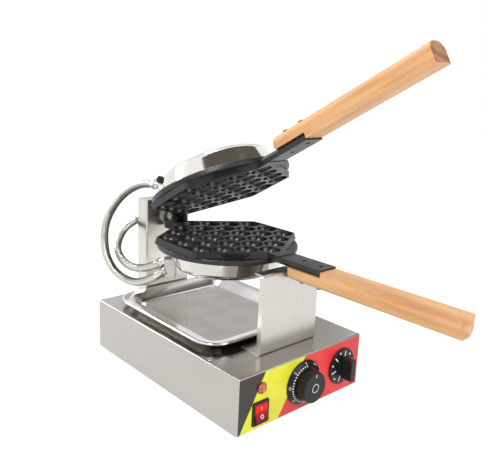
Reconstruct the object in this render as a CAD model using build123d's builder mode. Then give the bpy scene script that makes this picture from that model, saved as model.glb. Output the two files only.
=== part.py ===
from build123d import *
import math
import os

# Bubble waffle maker on a stainless base, with two hinged mould plates that turn over on a rear pivot.
# Millimetres. +Z is up, the control panel faces -Y and the handles reach towards -Y.
# The origin is on the table under the middle of the base.

os.makedirs("parts", exist_ok=True)

# Cuts run past the faces that they open by this much
overrun = 2.0
# Gap between pieces that are set side by side, and radial gap of a turning fit
seat_gap = 0.2
running_gap = 0.06
# Gap round a piece that has to turn or slide freely
free_gap = 0.5

# Base housing: folded stainless sheet, open below
base_width = 250.0
base_depth = 358.0
base_height = 82.0
base_sheet = 1.2
base_bend = 2.5
foot_height = 8.0
foot_radius = 10.0
foot_taper = 2.0
foot_inset_x = 21.0
foot_inset_y = 19.0
plate_sheet = 1.2

# Control panel film and its three colour fields
film_thickness = 0.5
film_margin = 2.5
film_foot_margin = 0.6
dark_top_share = -0.628
dark_bottom_share = -0.981
red_top_share = 0.0
red_bottom_share = -0.403

# Pilot lamp
lamp_inset = 42.0
lamp_height = 58.0
lamp_bezel_radius = 8.2
lamp_bezel_depth = 1.2
lamp_stem_radius = 5.5
lamp_stem_length = 22.0
lamp_lens_radius = 7.8
lamp_lens_depth = 4.2
lamp_table_radius = 4.4
lamp_facets = 10

# Rocker switch
switch_inset = 40.5
switch_height = 23.0
switch_frame_width = 29.0
switch_frame_height = 34.0
switch_frame_depth = 3.0
switch_lip = 3.0
switch_corner = 2.0
switch_body_depth = 24.0
switch_wall = 1.4
rocker_tilt = 9.0
rocker_proud = 0.5
rocker_tip_drop = 2.0
rocker_end_drop = 0.6
rocker_skirt = 3.0
rocker_root = 9.0
rocker_pin_radius = 1.6

# Timer and thermostat, one behind each dial
timer_offset = -2.0
thermostat_inset = 43.0
dial_height = 41.0
timer_dial_radius = 33.0
timer_dial_crown = 24.5
timer_dial_thickness = 7.5
timer_dial_rim = 1.5
thermostat_dial_radius = 28.0
thermostat_dial_crown = 27.2
thermostat_dial_thickness = 2.4
thermostat_dial_rim = 1.6
dial_lift = 0.6
knob_shaft_radius = 3.0
bush_radius = 5.0
bush_length = 6.0
movement_width = 46.0
movement_height = 52.0
movement_depth = 34.0
capillary_radius = 20.0
capillary_depth = 22.0
timer_grip_radius = 22.5
timer_grip_depth = 16.0
timer_grip_round = 2.2
timer_cap_radius = 5.2
timer_ring_width = 1.4
timer_ring_depth = 1.4
timer_ring_proud = 0.5
timer_flutes = 24
flute_radius = 1.5
thermostat_hub_radius = 12.0
thermostat_hub_depth = 3.0
thermostat_bar_length = 35.0
thermostat_bar_width = 11.0
thermostat_bar_depth = 18.0
thermostat_bar_round = 1.2
thermostat_grooves = 9
groove_pitch = 3.4
groove_radius = 1.2
knob_socket_wall = 3.0

# Parts inside and behind the base
terminal_width = 60.0
terminal_depth = 22.0
terminal_height = 18.0
terminal_setback = 69.0
gland_inset = 50.0
gland_height = 26.0
gland_hex = 22.0
gland_hex_depth = 6.0
gland_dome_radius = 9.5
gland_dome_depth = 14.0
gland_bore_radius = 4.5
vent_count = 9
vent_pitch = 14.0
vent_length = 60.0
vent_width = 4.0
screw_radius = 2.0
screw_head_radius = 3.6
screw_head_height = 2.0

# Front bracket that the lower neck lies over
bracket_width = 112.0
bracket_y = -145.0
bracket_sheet = 1.5
bracket_drop = 18.0
bracket_bend = 3.0
bracket_foot = 39.0
bracket_top = 17.0
bracket_return = 6.0

# Rear column that carries the pivot
column_width = 90.0
column_depth = 27.0
column_over_pivot = 32.0
column_sheet = 1.5
column_bend = 3.0
column_screw_inset = 9.0

# Drip tray, drawn from sheet, with a rolled rim
tray_width = 224.0
tray_front_gap = 1.0
tray_rear_gap = 4.0
tray_height = 13.0
tray_corner = 38.0
tray_rim = 6.0
tray_lip = 4.0
tray_sheet = 1.0
tray_slope = 14.0
tray_floor_round = 7.0

# Mould plates: cast iron, two tiers, with a lattice of round cells
parting_height = 135.0
plate_y = -3.0
plate_gap = 0.6
cell_radius = 15.9
cell_pitch = 37.9
cell_column_step = 28.0
cell_lift = 0.9
cells_in_columns = (3, 4, 5, 6, 5, 4, 3)
cell_rim = 2.2
hex_tier = 8.5
disc_tier = 8.5
hex_flare = 2.5
hex_corner = 9.0
disc_radius = 110.0
disc_round = 2.5
channel_depth = 0.8
channel_margin = 3.0

# Neck that carries the handle
neck_half_width = 16.0
neck_thickness = 12.0
neck_chamfer = 5.0
neck_start_y = -96.0
neck_step_y = -132.0
neck_end_y = -208.0
neck_step = 0.8
handle_hole_radius = 3.0
handle_hole_ys = (-165.0, -196.0)

# Wooden handle, D-shaped, lapped against the neck
handle_start_y = -150.0
handle_end_y = -408.0
handle_width = 32.0
handle_drop = 3.5
handle_thickness = 27.0
handle_flat_round = 1.5
handle_belly_round = 13.0
handle_end_round = 1.2
handle_screw_radius = 2.6
handle_head_radius = 4.8
handle_head_height = 2.6
handle_spot_depth = 1.2
handle_screw_short = 2.5

# Dome over the heating ring
dome_flange_radius = 99.0
dome_radius = 94.0
dome_bottom_radius = 82.0
dome_depth = 33.0
dome_sheet = 1.0
dome_round = 15.0
dome_screw_count = 6
dome_screw_circle = 96.5
dome_screw_radius = 1.2
dome_screw_head_radius = 2.2
dome_screw_head_height = 1.5
ring_circle_radius = 62.0
ring_rod_radius = 4.0
ring_gap = 0.1

# Plate hinge, across the back
hinge_y = 130.0
hinge_to_boss = 11.0
hinge_lift = 7.0
hinge_eye_radius = 9.0
hinge_pin_radius = 4.0
hinge_lug_half_width = 6.0
hinge_ear_width = 8.0
hinge_pin_head = 2.0
hinge_pin_head_radius = 6.0
hinge_root_y = 92.0
arm_height = 14.0
lid_open_angle = 28.8

# Pivot that the plates turn over on
pivot_boss_depth = 6.0
pivot_boss_radius = 12.0
pivot_shaft_radius = 7.0
pivot_washer_radius = 11.0
pivot_washer = 2.0
pivot_bearing_radius = 15.0
pivot_bearing_flange = 6.0
pivot_spigot_radius = 11.0
pivot_spigot_depth = 8.0
pivot_nut_flats = 20.0
pivot_nut_depth = 6.0
pivot_shaft_tail = 3.8
pivot_play = 0.8

# Flexible steel conduits and their fittings
conduit_radius = 6.5
ferrule_radius = 7.0
ferrule_flats = 15.0
lower_ferrule_length = 22.0
upper_ferrule_length = 15.5
ferrule_nut = 6.0
outer_collar = 11.0
inner_collar = 3.0
upper_collar = 1.0
lower_box_angle = 138.0
lower_box_reach = 97.0
lower_box_length = 18.0
lower_box_width = 18.0
lower_box_top_drop = 41.0
lower_box_height = 28.0
upper_box_angle = 130.0
upper_box_reach = 97.0
upper_box_length = 16.0
upper_box_width = 18.0
upper_box_top_drop = 30.5
upper_box_height = 20.0
block_round = 2.0
block_nut_flats = 11.0
block_nut_height = 6.0
block_nut_inset = 1.0
block_nut_drop = 18.0
block_stud_radius = 3.0
block_stud_length = 4.0
elbow_x = -20.0
elbow_z = 221.0
elbow_radius = 10.0
elbow_length = 22.0
elbow_round = 4.0
elbow_flange = 5.0
elbow_flange_flats = 24.0

# Heights and faces that follow from the sizes above
base_bottom = foot_height
base_top = foot_height + base_height
front_face = -base_depth / 2
rear_face = base_depth / 2
film_face = front_face - film_thickness
lamp_x = lamp_inset - base_width / 2
switch_x = switch_inset - base_width / 2
timer_x = timer_offset
thermostat_x = base_width / 2 - thermostat_inset
gland_x = base_width / 2 - gland_inset
terminal_y = rear_face - terminal_setback
parting_z = base_top + parting_height
bracket_height = parting_height - bracket_drop
column_height = parting_height + column_over_pivot
plate_thickness = hex_tier + disc_tier
pivot_boss_front_y = hinge_y + hinge_to_boss
pivot_boss_rear_y = pivot_boss_front_y + pivot_boss_depth
bearing_front_y = pivot_boss_rear_y + seat_gap + pivot_washer + pivot_play
column_y = bearing_front_y + pivot_bearing_flange
tray_front_y = bracket_y + bracket_foot + tray_front_gap
tray_rear_y = column_y - tray_rear_gap
switch_well_width = switch_frame_width - 2 * switch_lip
switch_well_height = switch_frame_height - 2 * switch_lip
switch_body_width = switch_well_width + 2 * switch_wall
switch_body_height = switch_well_height + 2 * switch_wall


def plane_facing_front(y):
    # A plane that looks out of the front of the machine, with local x to the right and local y up
    return Plane(origin=(0, y, 0), x_dir=(1, 0, 0), z_dir=(0, -1, 0))


def on(place, plane=Plane.XY):
    # The same plane, carried along with a seat
    return Plane(place * plane.location)


def save(piece, name):
    piece.label = name
    export_step(piece, f"parts/{name}.step")


# Base: housing, bottom plate, feet
with BuildPart() as base_housing:
    with BuildSketch(Plane.XY.offset(base_bottom)):
        Rectangle(base_width, base_depth)
    extrude(amount=base_height)
    fillet(base_housing.edges().filter_by(Axis.Z), radius=base_bend)
    fillet(base_housing.faces().sort_by(Axis.Z)[-1].edges(), radius=base_bend)
    underside = base_housing.faces().sort_by(Axis.Z)[0]
    offset(amount=-base_sheet, openings=underside)
    with BuildSketch(plane_facing_front(front_face)):
        with Locations((lamp_x, base_bottom + lamp_height)):
            Circle(lamp_stem_radius + seat_gap)
        with Locations((switch_x, base_bottom + switch_height)):
            Rectangle(
                switch_body_width + 2 * seat_gap,
                switch_body_height + 2 * seat_gap,
            )
        with Locations(
            (timer_x, base_bottom + dial_height),
            (thermostat_x, base_bottom + dial_height),
        ):
            Circle(bush_radius + seat_gap)
    extrude(amount=-(base_sheet + overrun), mode=Mode.SUBTRACT)
    with BuildSketch(Plane.XZ.offset(-rear_face)):
        with Locations((gland_x, base_bottom + gland_height)):
            Circle(gland_dome_radius)
    extrude(amount=base_sheet + overrun, mode=Mode.SUBTRACT)
save(base_housing.part, "base_housing")

plate_clear = base_sheet + seat_gap
with BuildPart() as bottom_plate:
    with BuildSketch(Plane.XY.offset(base_bottom)):
        RectangleRounded(
            base_width - 2 * plate_clear,
            base_depth - 2 * plate_clear,
            base_bend,
        )
    extrude(amount=plate_sheet)
    with BuildSketch(Plane.XY.offset(base_bottom)):
        with GridLocations(vent_pitch, 0, vent_count, 1):
            SlotOverall(vent_length, vent_width, rotation=90)
    extrude(amount=plate_sheet, mode=Mode.SUBTRACT)
save(bottom_plate.part, "bottom_plate")

foot_x = base_width / 2 - foot_inset_x
foot_y = base_depth / 2 - foot_inset_y
with BuildPart() as feet:
    with BuildSketch(Plane.XY.offset(foot_height)):
        with GridLocations(2 * foot_x, 2 * foot_y, 2, 2):
            Circle(foot_radius)
    extrude(amount=-foot_height)
    tread = feet.faces().sort_by(Axis.Z)[:4]
    chamfer(tread.edges(), length=foot_taper)
save(feet.part, "feet")

# Control panel film: dark, yellow and red fields that meet on two slanting lines
film_low = base_bottom + film_foot_margin
film_high = base_top - film_margin
film_side = base_width / 2 - film_margin
dark_top_x = film_side * dark_top_share
dark_bottom_x = film_side * dark_bottom_share
red_top_x = film_side * red_top_share
red_bottom_x = film_side * red_bottom_share


def film_field(name, outline):
    with BuildPart() as field:
        with BuildSketch(plane_facing_front(front_face)):
            with BuildLine():
                Polyline(*outline, close=True)
            make_face()
        extrude(amount=film_thickness)
        with BuildSketch(plane_facing_front(front_face)):
            with Locations((lamp_x, base_bottom + lamp_height)):
                Circle(lamp_stem_radius + seat_gap)
            with Locations((switch_x, base_bottom + switch_height)):
                Rectangle(
                    switch_body_width + 2 * seat_gap,
                    switch_body_height + 2 * seat_gap,
                )
            with Locations(
                (timer_x, base_bottom + dial_height),
                (thermostat_x, base_bottom + dial_height),
            ):
                Circle(bush_radius + seat_gap)
        extrude(amount=film_thickness, mode=Mode.SUBTRACT)
    save(field.part, name)


film_field(
    "panel_dark",
    [
        (-film_side, film_low),
        (dark_bottom_x, film_low),
        (dark_top_x, film_high),
        (-film_side, film_high),
    ],
)
film_field(
    "panel_yellow",
    [
        (dark_bottom_x, film_low),
        (red_bottom_x, film_low),
        (red_top_x, film_high),
        (dark_top_x, film_high),
    ],
)
film_field(
    "panel_red",
    [
        (red_bottom_x, film_low),
        (film_side, film_low),
        (film_side, film_high),
        (red_top_x, film_high),
    ],
)

# Pilot lamp: an amber lens with cut facets on a stem, in a thin collar
lamp_plane = Plane(
    origin=(lamp_x, film_face, base_bottom + lamp_height),
    x_dir=(1, 0, 0),
    z_dir=(0, -1, 0),
)
with BuildPart() as lamp_bezel:
    with BuildSketch(lamp_plane):
        Circle(lamp_bezel_radius)
        Circle(lamp_stem_radius + seat_gap, mode=Mode.SUBTRACT)
    extrude(amount=lamp_bezel_depth)
    rim = lamp_bezel.faces().sort_by(Axis.Y)[0].edges().sort_by(SortBy.LENGTH)[-1]
    chamfer(rim, length=lamp_bezel_depth / 3)
save(lamp_bezel.part, "lamp_bezel")

with BuildPart() as lamp_lens:
    with BuildSketch(lamp_plane.offset(-lamp_stem_length)):
        Circle(lamp_stem_radius)
    extrude(amount=lamp_stem_length + lamp_bezel_depth)
    with BuildSketch(lamp_plane.offset(lamp_bezel_depth)):
        RegularPolygon(lamp_lens_radius, lamp_facets)
    with BuildSketch(lamp_plane.offset(lamp_bezel_depth + lamp_lens_depth)):
        RegularPolygon(lamp_table_radius, lamp_facets)
    loft()
save(lamp_lens.part, "lamp_lens")

# Rocker switch: frame with its body behind the panel, and the rocker on a pin
switch_z = base_bottom + switch_height
switch_plane = Plane(
    origin=(switch_x, film_face, switch_z), x_dir=(1, 0, 0), z_dir=(0, -1, 0)
)
rocker_pivot_y = film_face + rocker_root / 2
rocker_pin_reach = switch_well_width / 2 + switch_wall / 2
with BuildPart() as switch_frame:
    with BuildSketch(switch_plane):
        RectangleRounded(switch_frame_width, switch_frame_height, switch_corner)
    extrude(amount=switch_frame_depth)
    fillet(switch_frame.faces().sort_by(Axis.Y)[0].edges(), radius=switch_corner / 2)
    with BuildSketch(switch_plane):
        Rectangle(switch_body_width, switch_body_height)
    extrude(amount=-switch_body_depth)
    with BuildSketch(switch_plane.offset(switch_frame_depth)):
        Rectangle(switch_well_width, switch_well_height)
    extrude(amount=switch_wall - switch_body_depth, mode=Mode.SUBTRACT)
    with BuildSketch(Plane.YZ.offset(switch_x)):
        with Locations((rocker_pivot_y, switch_z)):
            Circle(rocker_pin_radius)
    extrude(amount=rocker_pin_reach + seat_gap, both=True, mode=Mode.SUBTRACT)
save(switch_frame.part, "switch_frame")

# The two halves of the rocker's face meet in a shallow valley, and the upper half is pressed in
rocker_width = switch_well_width - 2 * free_gap
rocker_half = switch_well_height / 2 - rocker_end_drop
rocker_tip = switch_well_height / 2 - rocker_tip_drop
rocker_valley = rocker_root / 2 + switch_frame_depth + rocker_proud
rocker_crest = rocker_valley + rocker_tip * math.tan(math.radians(rocker_tilt))
rocker_swing = Plane(
    origin=(switch_x, rocker_pivot_y, switch_z), x_dir=(0, 1, 0), z_dir=(1, 0, 0)
).rotated((-rocker_tilt, 0, 0))
with BuildPart() as rocker:
    with BuildSketch(rocker_swing):
        with BuildLine():
            Polyline(
                (-rocker_crest, rocker_tip),
                (-rocker_valley, 0),
                (-rocker_crest, -rocker_tip),
                (-rocker_skirt, -rocker_half),
                (rocker_root / 2, -rocker_root / 2),
                (rocker_root / 2, rocker_root / 2),
                (-rocker_skirt, rocker_half),
                close=True,
            )
        make_face()
    extrude(amount=rocker_width / 2, both=True)
    with BuildSketch(rocker_swing):
        Circle(rocker_pin_radius - running_gap)
    extrude(amount=rocker_pin_reach, both=True)
save(rocker.part, "switch_rocker")


# Timer and thermostat bodies, each held to the panel by its threaded bush
def control_plane(x, y):
    return Plane(
        origin=(x, y, base_bottom + dial_height), x_dir=(1, 0, 0), z_dir=(0, -1, 0)
    )


inner_face = front_face + base_sheet
with BuildPart() as timer_movement:
    with BuildSketch(control_plane(timer_x, inner_face)):
        RectangleRounded(movement_width, movement_height, switch_corner)
    extrude(amount=-movement_depth)
    with BuildSketch(control_plane(timer_x, inner_face)):
        Circle(bush_radius)
    extrude(amount=base_sheet + film_thickness)
    with BuildSketch(control_plane(timer_x, inner_face)):
        Circle(knob_shaft_radius + running_gap)
    extrude(amount=bush_length, both=True, mode=Mode.SUBTRACT)
save(timer_movement.part, "timer_movement")

with BuildPart() as thermostat_body:
    with BuildSketch(control_plane(thermostat_x, inner_face)):
        Circle(capillary_radius)
    extrude(amount=-capillary_depth)
    with BuildSketch(control_plane(thermostat_x, inner_face)):
        Circle(bush_radius)
    extrude(amount=base_sheet + film_thickness)
    with BuildSketch(control_plane(thermostat_x, inner_face)):
        Circle(knob_shaft_radius + running_gap)
    extrude(amount=bush_length, both=True, mode=Mode.SUBTRACT)
save(thermostat_body.part, "thermostat_body")


# Dials and grips. Each dial is a disc on the shaft, just clear of the film, with a sloping edge
dial_back = film_face - dial_lift
timer_front = dial_back - timer_dial_thickness
thermostat_front = dial_back - thermostat_dial_thickness


def dial(name, x, radius, crown, thickness, rim):
    with BuildPart() as disc:
        with BuildSketch(control_plane(x, dial_back)):
            Circle(radius)
        extrude(amount=rim)
        with BuildSketch(control_plane(x, dial_back - rim)):
            Circle(radius)
        with BuildSketch(control_plane(x, dial_back - thickness)):
            Circle(crown)
        loft()
        with BuildSketch(control_plane(x, dial_back)):
            Circle(knob_shaft_radius + seat_gap)
        extrude(amount=thickness, mode=Mode.SUBTRACT)
    save(disc.part, name)


dial(
    "timer_dial",
    timer_x,
    timer_dial_radius,
    timer_dial_crown,
    timer_dial_thickness,
    timer_dial_rim,
)
dial(
    "thermostat_dial",
    thermostat_x,
    thermostat_dial_radius,
    thermostat_dial_crown,
    thermostat_dial_thickness,
    thermostat_dial_rim,
)


def knob_shaft(name, x, socket_end):
    shaft_start = inner_face + bush_length - running_gap
    with BuildPart() as shaft:
        with BuildSketch(control_plane(x, shaft_start)):
            Circle(knob_shaft_radius)
        extrude(amount=shaft_start - socket_end)
    save(shaft.part, name)


timer_end = timer_front - timer_grip_depth
thermostat_end = thermostat_front - thermostat_hub_depth - thermostat_bar_depth
timer_socket_end = timer_end + knob_socket_wall
thermostat_socket_end = thermostat_end + thermostat_bar_depth / 2
knob_shaft("timer_shaft", timer_x, timer_socket_end)
knob_shaft("thermostat_shaft", thermostat_x, thermostat_socket_end)

with BuildPart() as timer_grip:
    with BuildSketch(control_plane(timer_x, timer_front)):
        Circle(timer_grip_radius)
    extrude(amount=timer_grip_depth)
    fillet(timer_grip.faces().sort_by(Axis.Y)[0].edges(), radius=timer_grip_round)
    with BuildSketch(control_plane(timer_x, timer_front)):
        with PolarLocations(timer_grip_radius + flute_radius / 2, timer_flutes):
            Circle(flute_radius)
    extrude(amount=timer_grip_depth, mode=Mode.SUBTRACT)
    with BuildSketch(control_plane(timer_x, timer_end)):
        Circle(timer_cap_radius + timer_ring_width + 2 * seat_gap)
    extrude(amount=-timer_ring_depth, mode=Mode.SUBTRACT)
    with BuildSketch(control_plane(timer_x, timer_front)):
        Circle(knob_shaft_radius + seat_gap / 2)
    extrude(amount=timer_front - timer_socket_end, mode=Mode.SUBTRACT)
save(timer_grip.part, "timer_grip")

cap_plane = control_plane(timer_x, timer_end + timer_ring_depth)
ring_inner = timer_cap_radius + seat_gap
with BuildPart() as timer_ring:
    with BuildSketch(cap_plane):
        Circle(ring_inner + timer_ring_width)
        Circle(ring_inner, mode=Mode.SUBTRACT)
    extrude(amount=timer_ring_depth + timer_ring_proud)
    chamfer(timer_ring.faces().sort_by(Axis.Y)[0].edges(), length=timer_ring_proud / 2)
save(timer_ring.part, "timer_ring")

with BuildPart() as timer_cap:
    with BuildSketch(cap_plane):
        Circle(timer_cap_radius)
    extrude(amount=timer_ring_depth)
save(timer_cap.part, "timer_cap")

# Thermostat grip: an upright bar on a low hub, with finger grooves down both flanks
bar_plane = control_plane(thermostat_x, thermostat_front - thermostat_hub_depth)
with BuildPart() as thermostat_grip:
    with BuildSketch(control_plane(thermostat_x, thermostat_front)):
        Circle(thermostat_hub_radius)
    extrude(amount=thermostat_hub_depth)
    with BuildSketch(bar_plane):
        RectangleRounded(
            thermostat_bar_width, thermostat_bar_length, thermostat_bar_width / 3
        )
    extrude(amount=thermostat_bar_depth)
    fillet(
        thermostat_grip.faces().sort_by(Axis.Y)[0].edges(), radius=thermostat_bar_round
    )
    with BuildSketch(bar_plane):
        for side in (-1, 1):
            with Locations((side * (thermostat_bar_width / 2 + groove_radius / 4), 0)):
                with GridLocations(0, groove_pitch, 1, thermostat_grooves):
                    Circle(groove_radius)
    extrude(amount=thermostat_bar_depth, mode=Mode.SUBTRACT)
    with BuildSketch(control_plane(thermostat_x, thermostat_front)):
        Circle(knob_shaft_radius + seat_gap / 2)
    extrude(amount=thermostat_front - thermostat_socket_end, mode=Mode.SUBTRACT)
save(thermostat_grip.part, "thermostat_grip")

# Terminal block on the bottom plate and cord gland in the rear wall
with BuildPart() as terminal_block:
    with BuildSketch(Plane.XY.offset(base_bottom + plate_sheet)):
        with Locations((0, terminal_y)):
            Rectangle(terminal_width, terminal_depth)
    extrude(amount=terminal_height)
    chamfer(terminal_block.faces().sort_by(Axis.Z)[-1].edges(), length=screw_radius)
save(terminal_block.part, "terminal_block")


def rear_plane(x, y, z):
    # Looks out of the back of the machine
    return Plane(origin=(x, y, z), x_dir=(-1, 0, 0), z_dir=(0, 1, 0))


with BuildPart() as cord_gland:
    gland_z = base_bottom + gland_height
    with BuildSketch(rear_plane(gland_x, rear_face, gland_z)):
        RegularPolygon(gland_hex / 2, 6, major_radius=False)
    extrude(amount=gland_hex_depth)
    with BuildSketch(rear_plane(gland_x, rear_face + gland_hex_depth, gland_z)):
        Circle(gland_dome_radius)
    extrude(amount=gland_dome_depth)
    fillet(
        cord_gland.faces().sort_by(Axis.Y)[-1].edges(),
        radius=gland_dome_radius - gland_bore_radius - flute_radius,
    )
    with BuildSketch(rear_plane(gland_x, rear_face, gland_z)):
        Circle(gland_dome_radius - seat_gap)
    extrude(amount=-(base_sheet + gland_hex_depth))
    with BuildSketch(rear_plane(gland_x, rear_face, gland_z)):
        Circle(gland_bore_radius)
    extrude(
        amount=gland_hex_depth + gland_dome_depth, both=True, mode=Mode.SUBTRACT
    )
save(cord_gland.part, "cord_gland")

# Front bracket: one folded sheet with a foot, an upright, a top flange and two side returns
bracket_z = base_top
bracket_top_z = base_top + bracket_height
with BuildPart() as front_bracket:
    with BuildSketch(Plane.YZ.offset(-bracket_width / 2)):
        with BuildLine():
            Polyline(
                (bracket_y + bracket_foot, bracket_z),
                (bracket_y, bracket_z),
                (bracket_y, bracket_top_z),
                (bracket_y + bracket_top, bracket_top_z),
                (bracket_y + bracket_top, bracket_top_z - bracket_sheet),
                (bracket_y + bracket_sheet, bracket_top_z - bracket_sheet),
                (bracket_y + bracket_sheet, bracket_z + bracket_sheet),
                (bracket_y + bracket_foot, bracket_z + bracket_sheet),
                close=True,
            )
        make_face()
    extrude(amount=bracket_width)
    outer_bends = (
        front_bracket.edges()
        .filter_by(Axis.X)
        .filter_by_position(Axis.Y, bracket_y, bracket_y)
    )
    fillet(outer_bends, radius=bracket_bend)
    return_plane = Plane.XY.offset(bracket_z + 2 * bracket_bend)
    return_height = bracket_height - 4 * bracket_bend
    with BuildSketch(return_plane):
        for side in (-1, 1):
            with Locations(
                (
                    side * (bracket_width / 2 - bracket_sheet / 2),
                    bracket_y + bracket_sheet + bracket_return / 2,
                )
            ):
                Rectangle(bracket_sheet, bracket_return)
    extrude(amount=return_height)
save(front_bracket.part, "front_bracket")

# Rear column: folded sheet box with its back closed by a cover
column_top_z = base_top + column_height
column_mid_y = column_y + column_depth / 2
with BuildPart() as rear_column:
    with BuildSketch(Plane.XY.offset(base_top)):
        with Locations((0, column_mid_y)):
            Rectangle(column_width, column_depth)
    extrude(amount=column_height)
    front_corners = (
        rear_column.edges().filter_by(Axis.Z).group_by(Axis.Y)[0]
    )
    fillet(front_corners, radius=column_bend)
    back = rear_column.faces().sort_by(Axis.Y)[-1]
    offset(amount=-column_sheet, openings=back)
    with BuildSketch(Plane.XZ.offset(-column_y)):
        with Locations((0, parting_z)):
            Circle(pivot_spigot_radius + seat_gap / 2)
    extrude(amount=-(column_sheet + overrun), mode=Mode.SUBTRACT)
save(rear_column.part, "rear_column")

cover_front_y = column_y + column_depth - column_sheet
with BuildPart() as column_cover:
    with BuildSketch(Plane.XZ.offset(-cover_front_y)):
        with Locations((0, base_top + column_height / 2)):
            Rectangle(
                column_width - 2 * column_sheet - 2 * seat_gap,
                column_height - 2 * column_sheet - 2 * seat_gap,
            )
    extrude(amount=-column_sheet)
save(column_cover.part, "column_cover")

cover_screw_x = column_width / 2 - column_sheet - column_screw_inset
cover_screw_low = base_top + column_sheet + column_screw_inset
cover_screw_high = column_top_z - column_sheet - column_screw_inset
with BuildPart() as column_screws:
    for screw_x in (-cover_screw_x, cover_screw_x):
        for screw_z in (cover_screw_low, cover_screw_high):
            with BuildSketch(rear_plane(screw_x, column_y + column_depth, screw_z)):
                Circle(screw_head_radius)
            extrude(amount=screw_head_height)
    chamfer(
        column_screws.faces().sort_by(Axis.Y)[-4:].edges(),
        length=screw_head_height / 3,
    )
save(column_screws.part, "column_screws")

# Drip tray: sloping walls, broad corner radii and a rim that turns down
tray_depth = tray_rear_y - tray_front_y
tray_mid_y = (tray_rear_y + tray_front_y) / 2
tray_floor_z = base_top + seat_gap
tray_rim_z = base_top + tray_height
bowl_width = tray_width - 2 * tray_rim
bowl_depth = tray_depth - 2 * tray_rim
bowl_corner = tray_corner - tray_rim


# Mouth and floor of the bowl outside, then the same drawn in by the sheet
tray_skins = (
    (0, tray_floor_z, tray_floor_round, Mode.ADD),
    (tray_sheet, tray_floor_z + tray_sheet, tray_floor_round - tray_sheet, Mode.SUBTRACT),
)
with BuildPart() as drip_tray:
    for inset, floor_z, floor_round, mode in tray_skins:
        for level, slope in ((tray_rim_z, 0), (floor_z, tray_slope)):
            with BuildSketch(Plane.XY.offset(level)):
                with Locations((0, tray_mid_y)):
                    RectangleRounded(
                        bowl_width - 2 * inset - 2 * slope,
                        bowl_depth - 2 * inset - 2 * slope,
                        bowl_corner - inset - slope / 2,
                    )
        loft(mode=mode)
        floor = drip_tray.faces().filter_by(Axis.Z).sort_by(Axis.Z)
        fillet(floor[0 if mode == Mode.ADD else 1].edges(), radius=floor_round)
    with BuildSketch(Plane.XY.offset(tray_rim_z)):
        with Locations((0, tray_mid_y)):
            RectangleRounded(tray_width, tray_depth, tray_corner)
            RectangleRounded(
                bowl_width - 2 * tray_sheet,
                bowl_depth - 2 * tray_sheet,
                tray_corner - tray_rim - tray_sheet,
                mode=Mode.SUBTRACT,
            )
    extrude(amount=-tray_sheet)
    with BuildSketch(Plane.XY.offset(tray_rim_z)):
        with Locations((0, tray_mid_y)):
            RectangleRounded(tray_width, tray_depth, tray_corner)
            RectangleRounded(
                tray_width - 2 * tray_sheet,
                tray_depth - 2 * tray_sheet,
                tray_corner - tray_sheet,
                mode=Mode.SUBTRACT,
            )
    extrude(amount=-tray_lip)
    rim_edge = drip_tray.faces().sort_by(Axis.Z)[-1].outer_wire().edges()
    fillet(rim_edge, radius=tray_sheet - seat_gap)
save(drip_tray.part, "drip_tray")

# Seats of the two mould plates. Local z points at the other plate and local -y at the handle.
# The upper plate is turned over onto the lower one, then swung open about the hinge.
lower_seat = Location((0, plate_y, parting_z))
hinge_z = parting_z + hinge_lift
swing_open = (
    Location((0, hinge_y, hinge_z))
    * Location((0, 0, 0), (-lid_open_angle, 0, 0))
    * Location((0, -hinge_y, -hinge_z))
)
upper_seat = swing_open * Location((0, plate_y, parting_z + plate_gap), (0, 180, 0))

# Outline of the hexagonal tier, set out from the outermost cells
column_count = len(cells_in_columns)
cell_span_x = (column_count - 1) / 2 * cell_column_step
cell_span_y = (max(cells_in_columns) - 1) / 2 * cell_pitch
side_span_y = (cells_in_columns[0] - 1) / 2 * cell_pitch
slant = math.atan2(cell_span_y - side_span_y, cell_span_x)


def hex_outline(margin):
    apex = cell_span_y + margin / math.cos(slant)
    side = cell_span_x + margin
    corner = apex - side * math.tan(slant)
    return [
        (0, -apex),
        (side, -corner),
        (side, corner),
        (0, apex),
        (-side, corner),
        (-side, -corner),
    ]


def cell_centres():
    centres = []
    for column, count in enumerate(cells_in_columns):
        x = (column - (column_count - 1) / 2) * cell_column_step
        for row in range(count):
            centres.append((x, (row - (count - 1) / 2) * cell_pitch))
    return centres


cell_margin = cell_radius + cell_rim


def neck_section(top_drop):
    # Bar with both lower edges chamfered, so that it clears the bracket while it turns over
    return [
        (-neck_half_width, -top_drop),
        (neck_half_width, -top_drop),
        (neck_half_width, neck_chamfer - neck_thickness),
        (neck_half_width - neck_chamfer, -neck_thickness),
        (neck_chamfer - neck_half_width, -neck_thickness),
        (-neck_half_width, neck_chamfer - neck_thickness),
    ]


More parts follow.
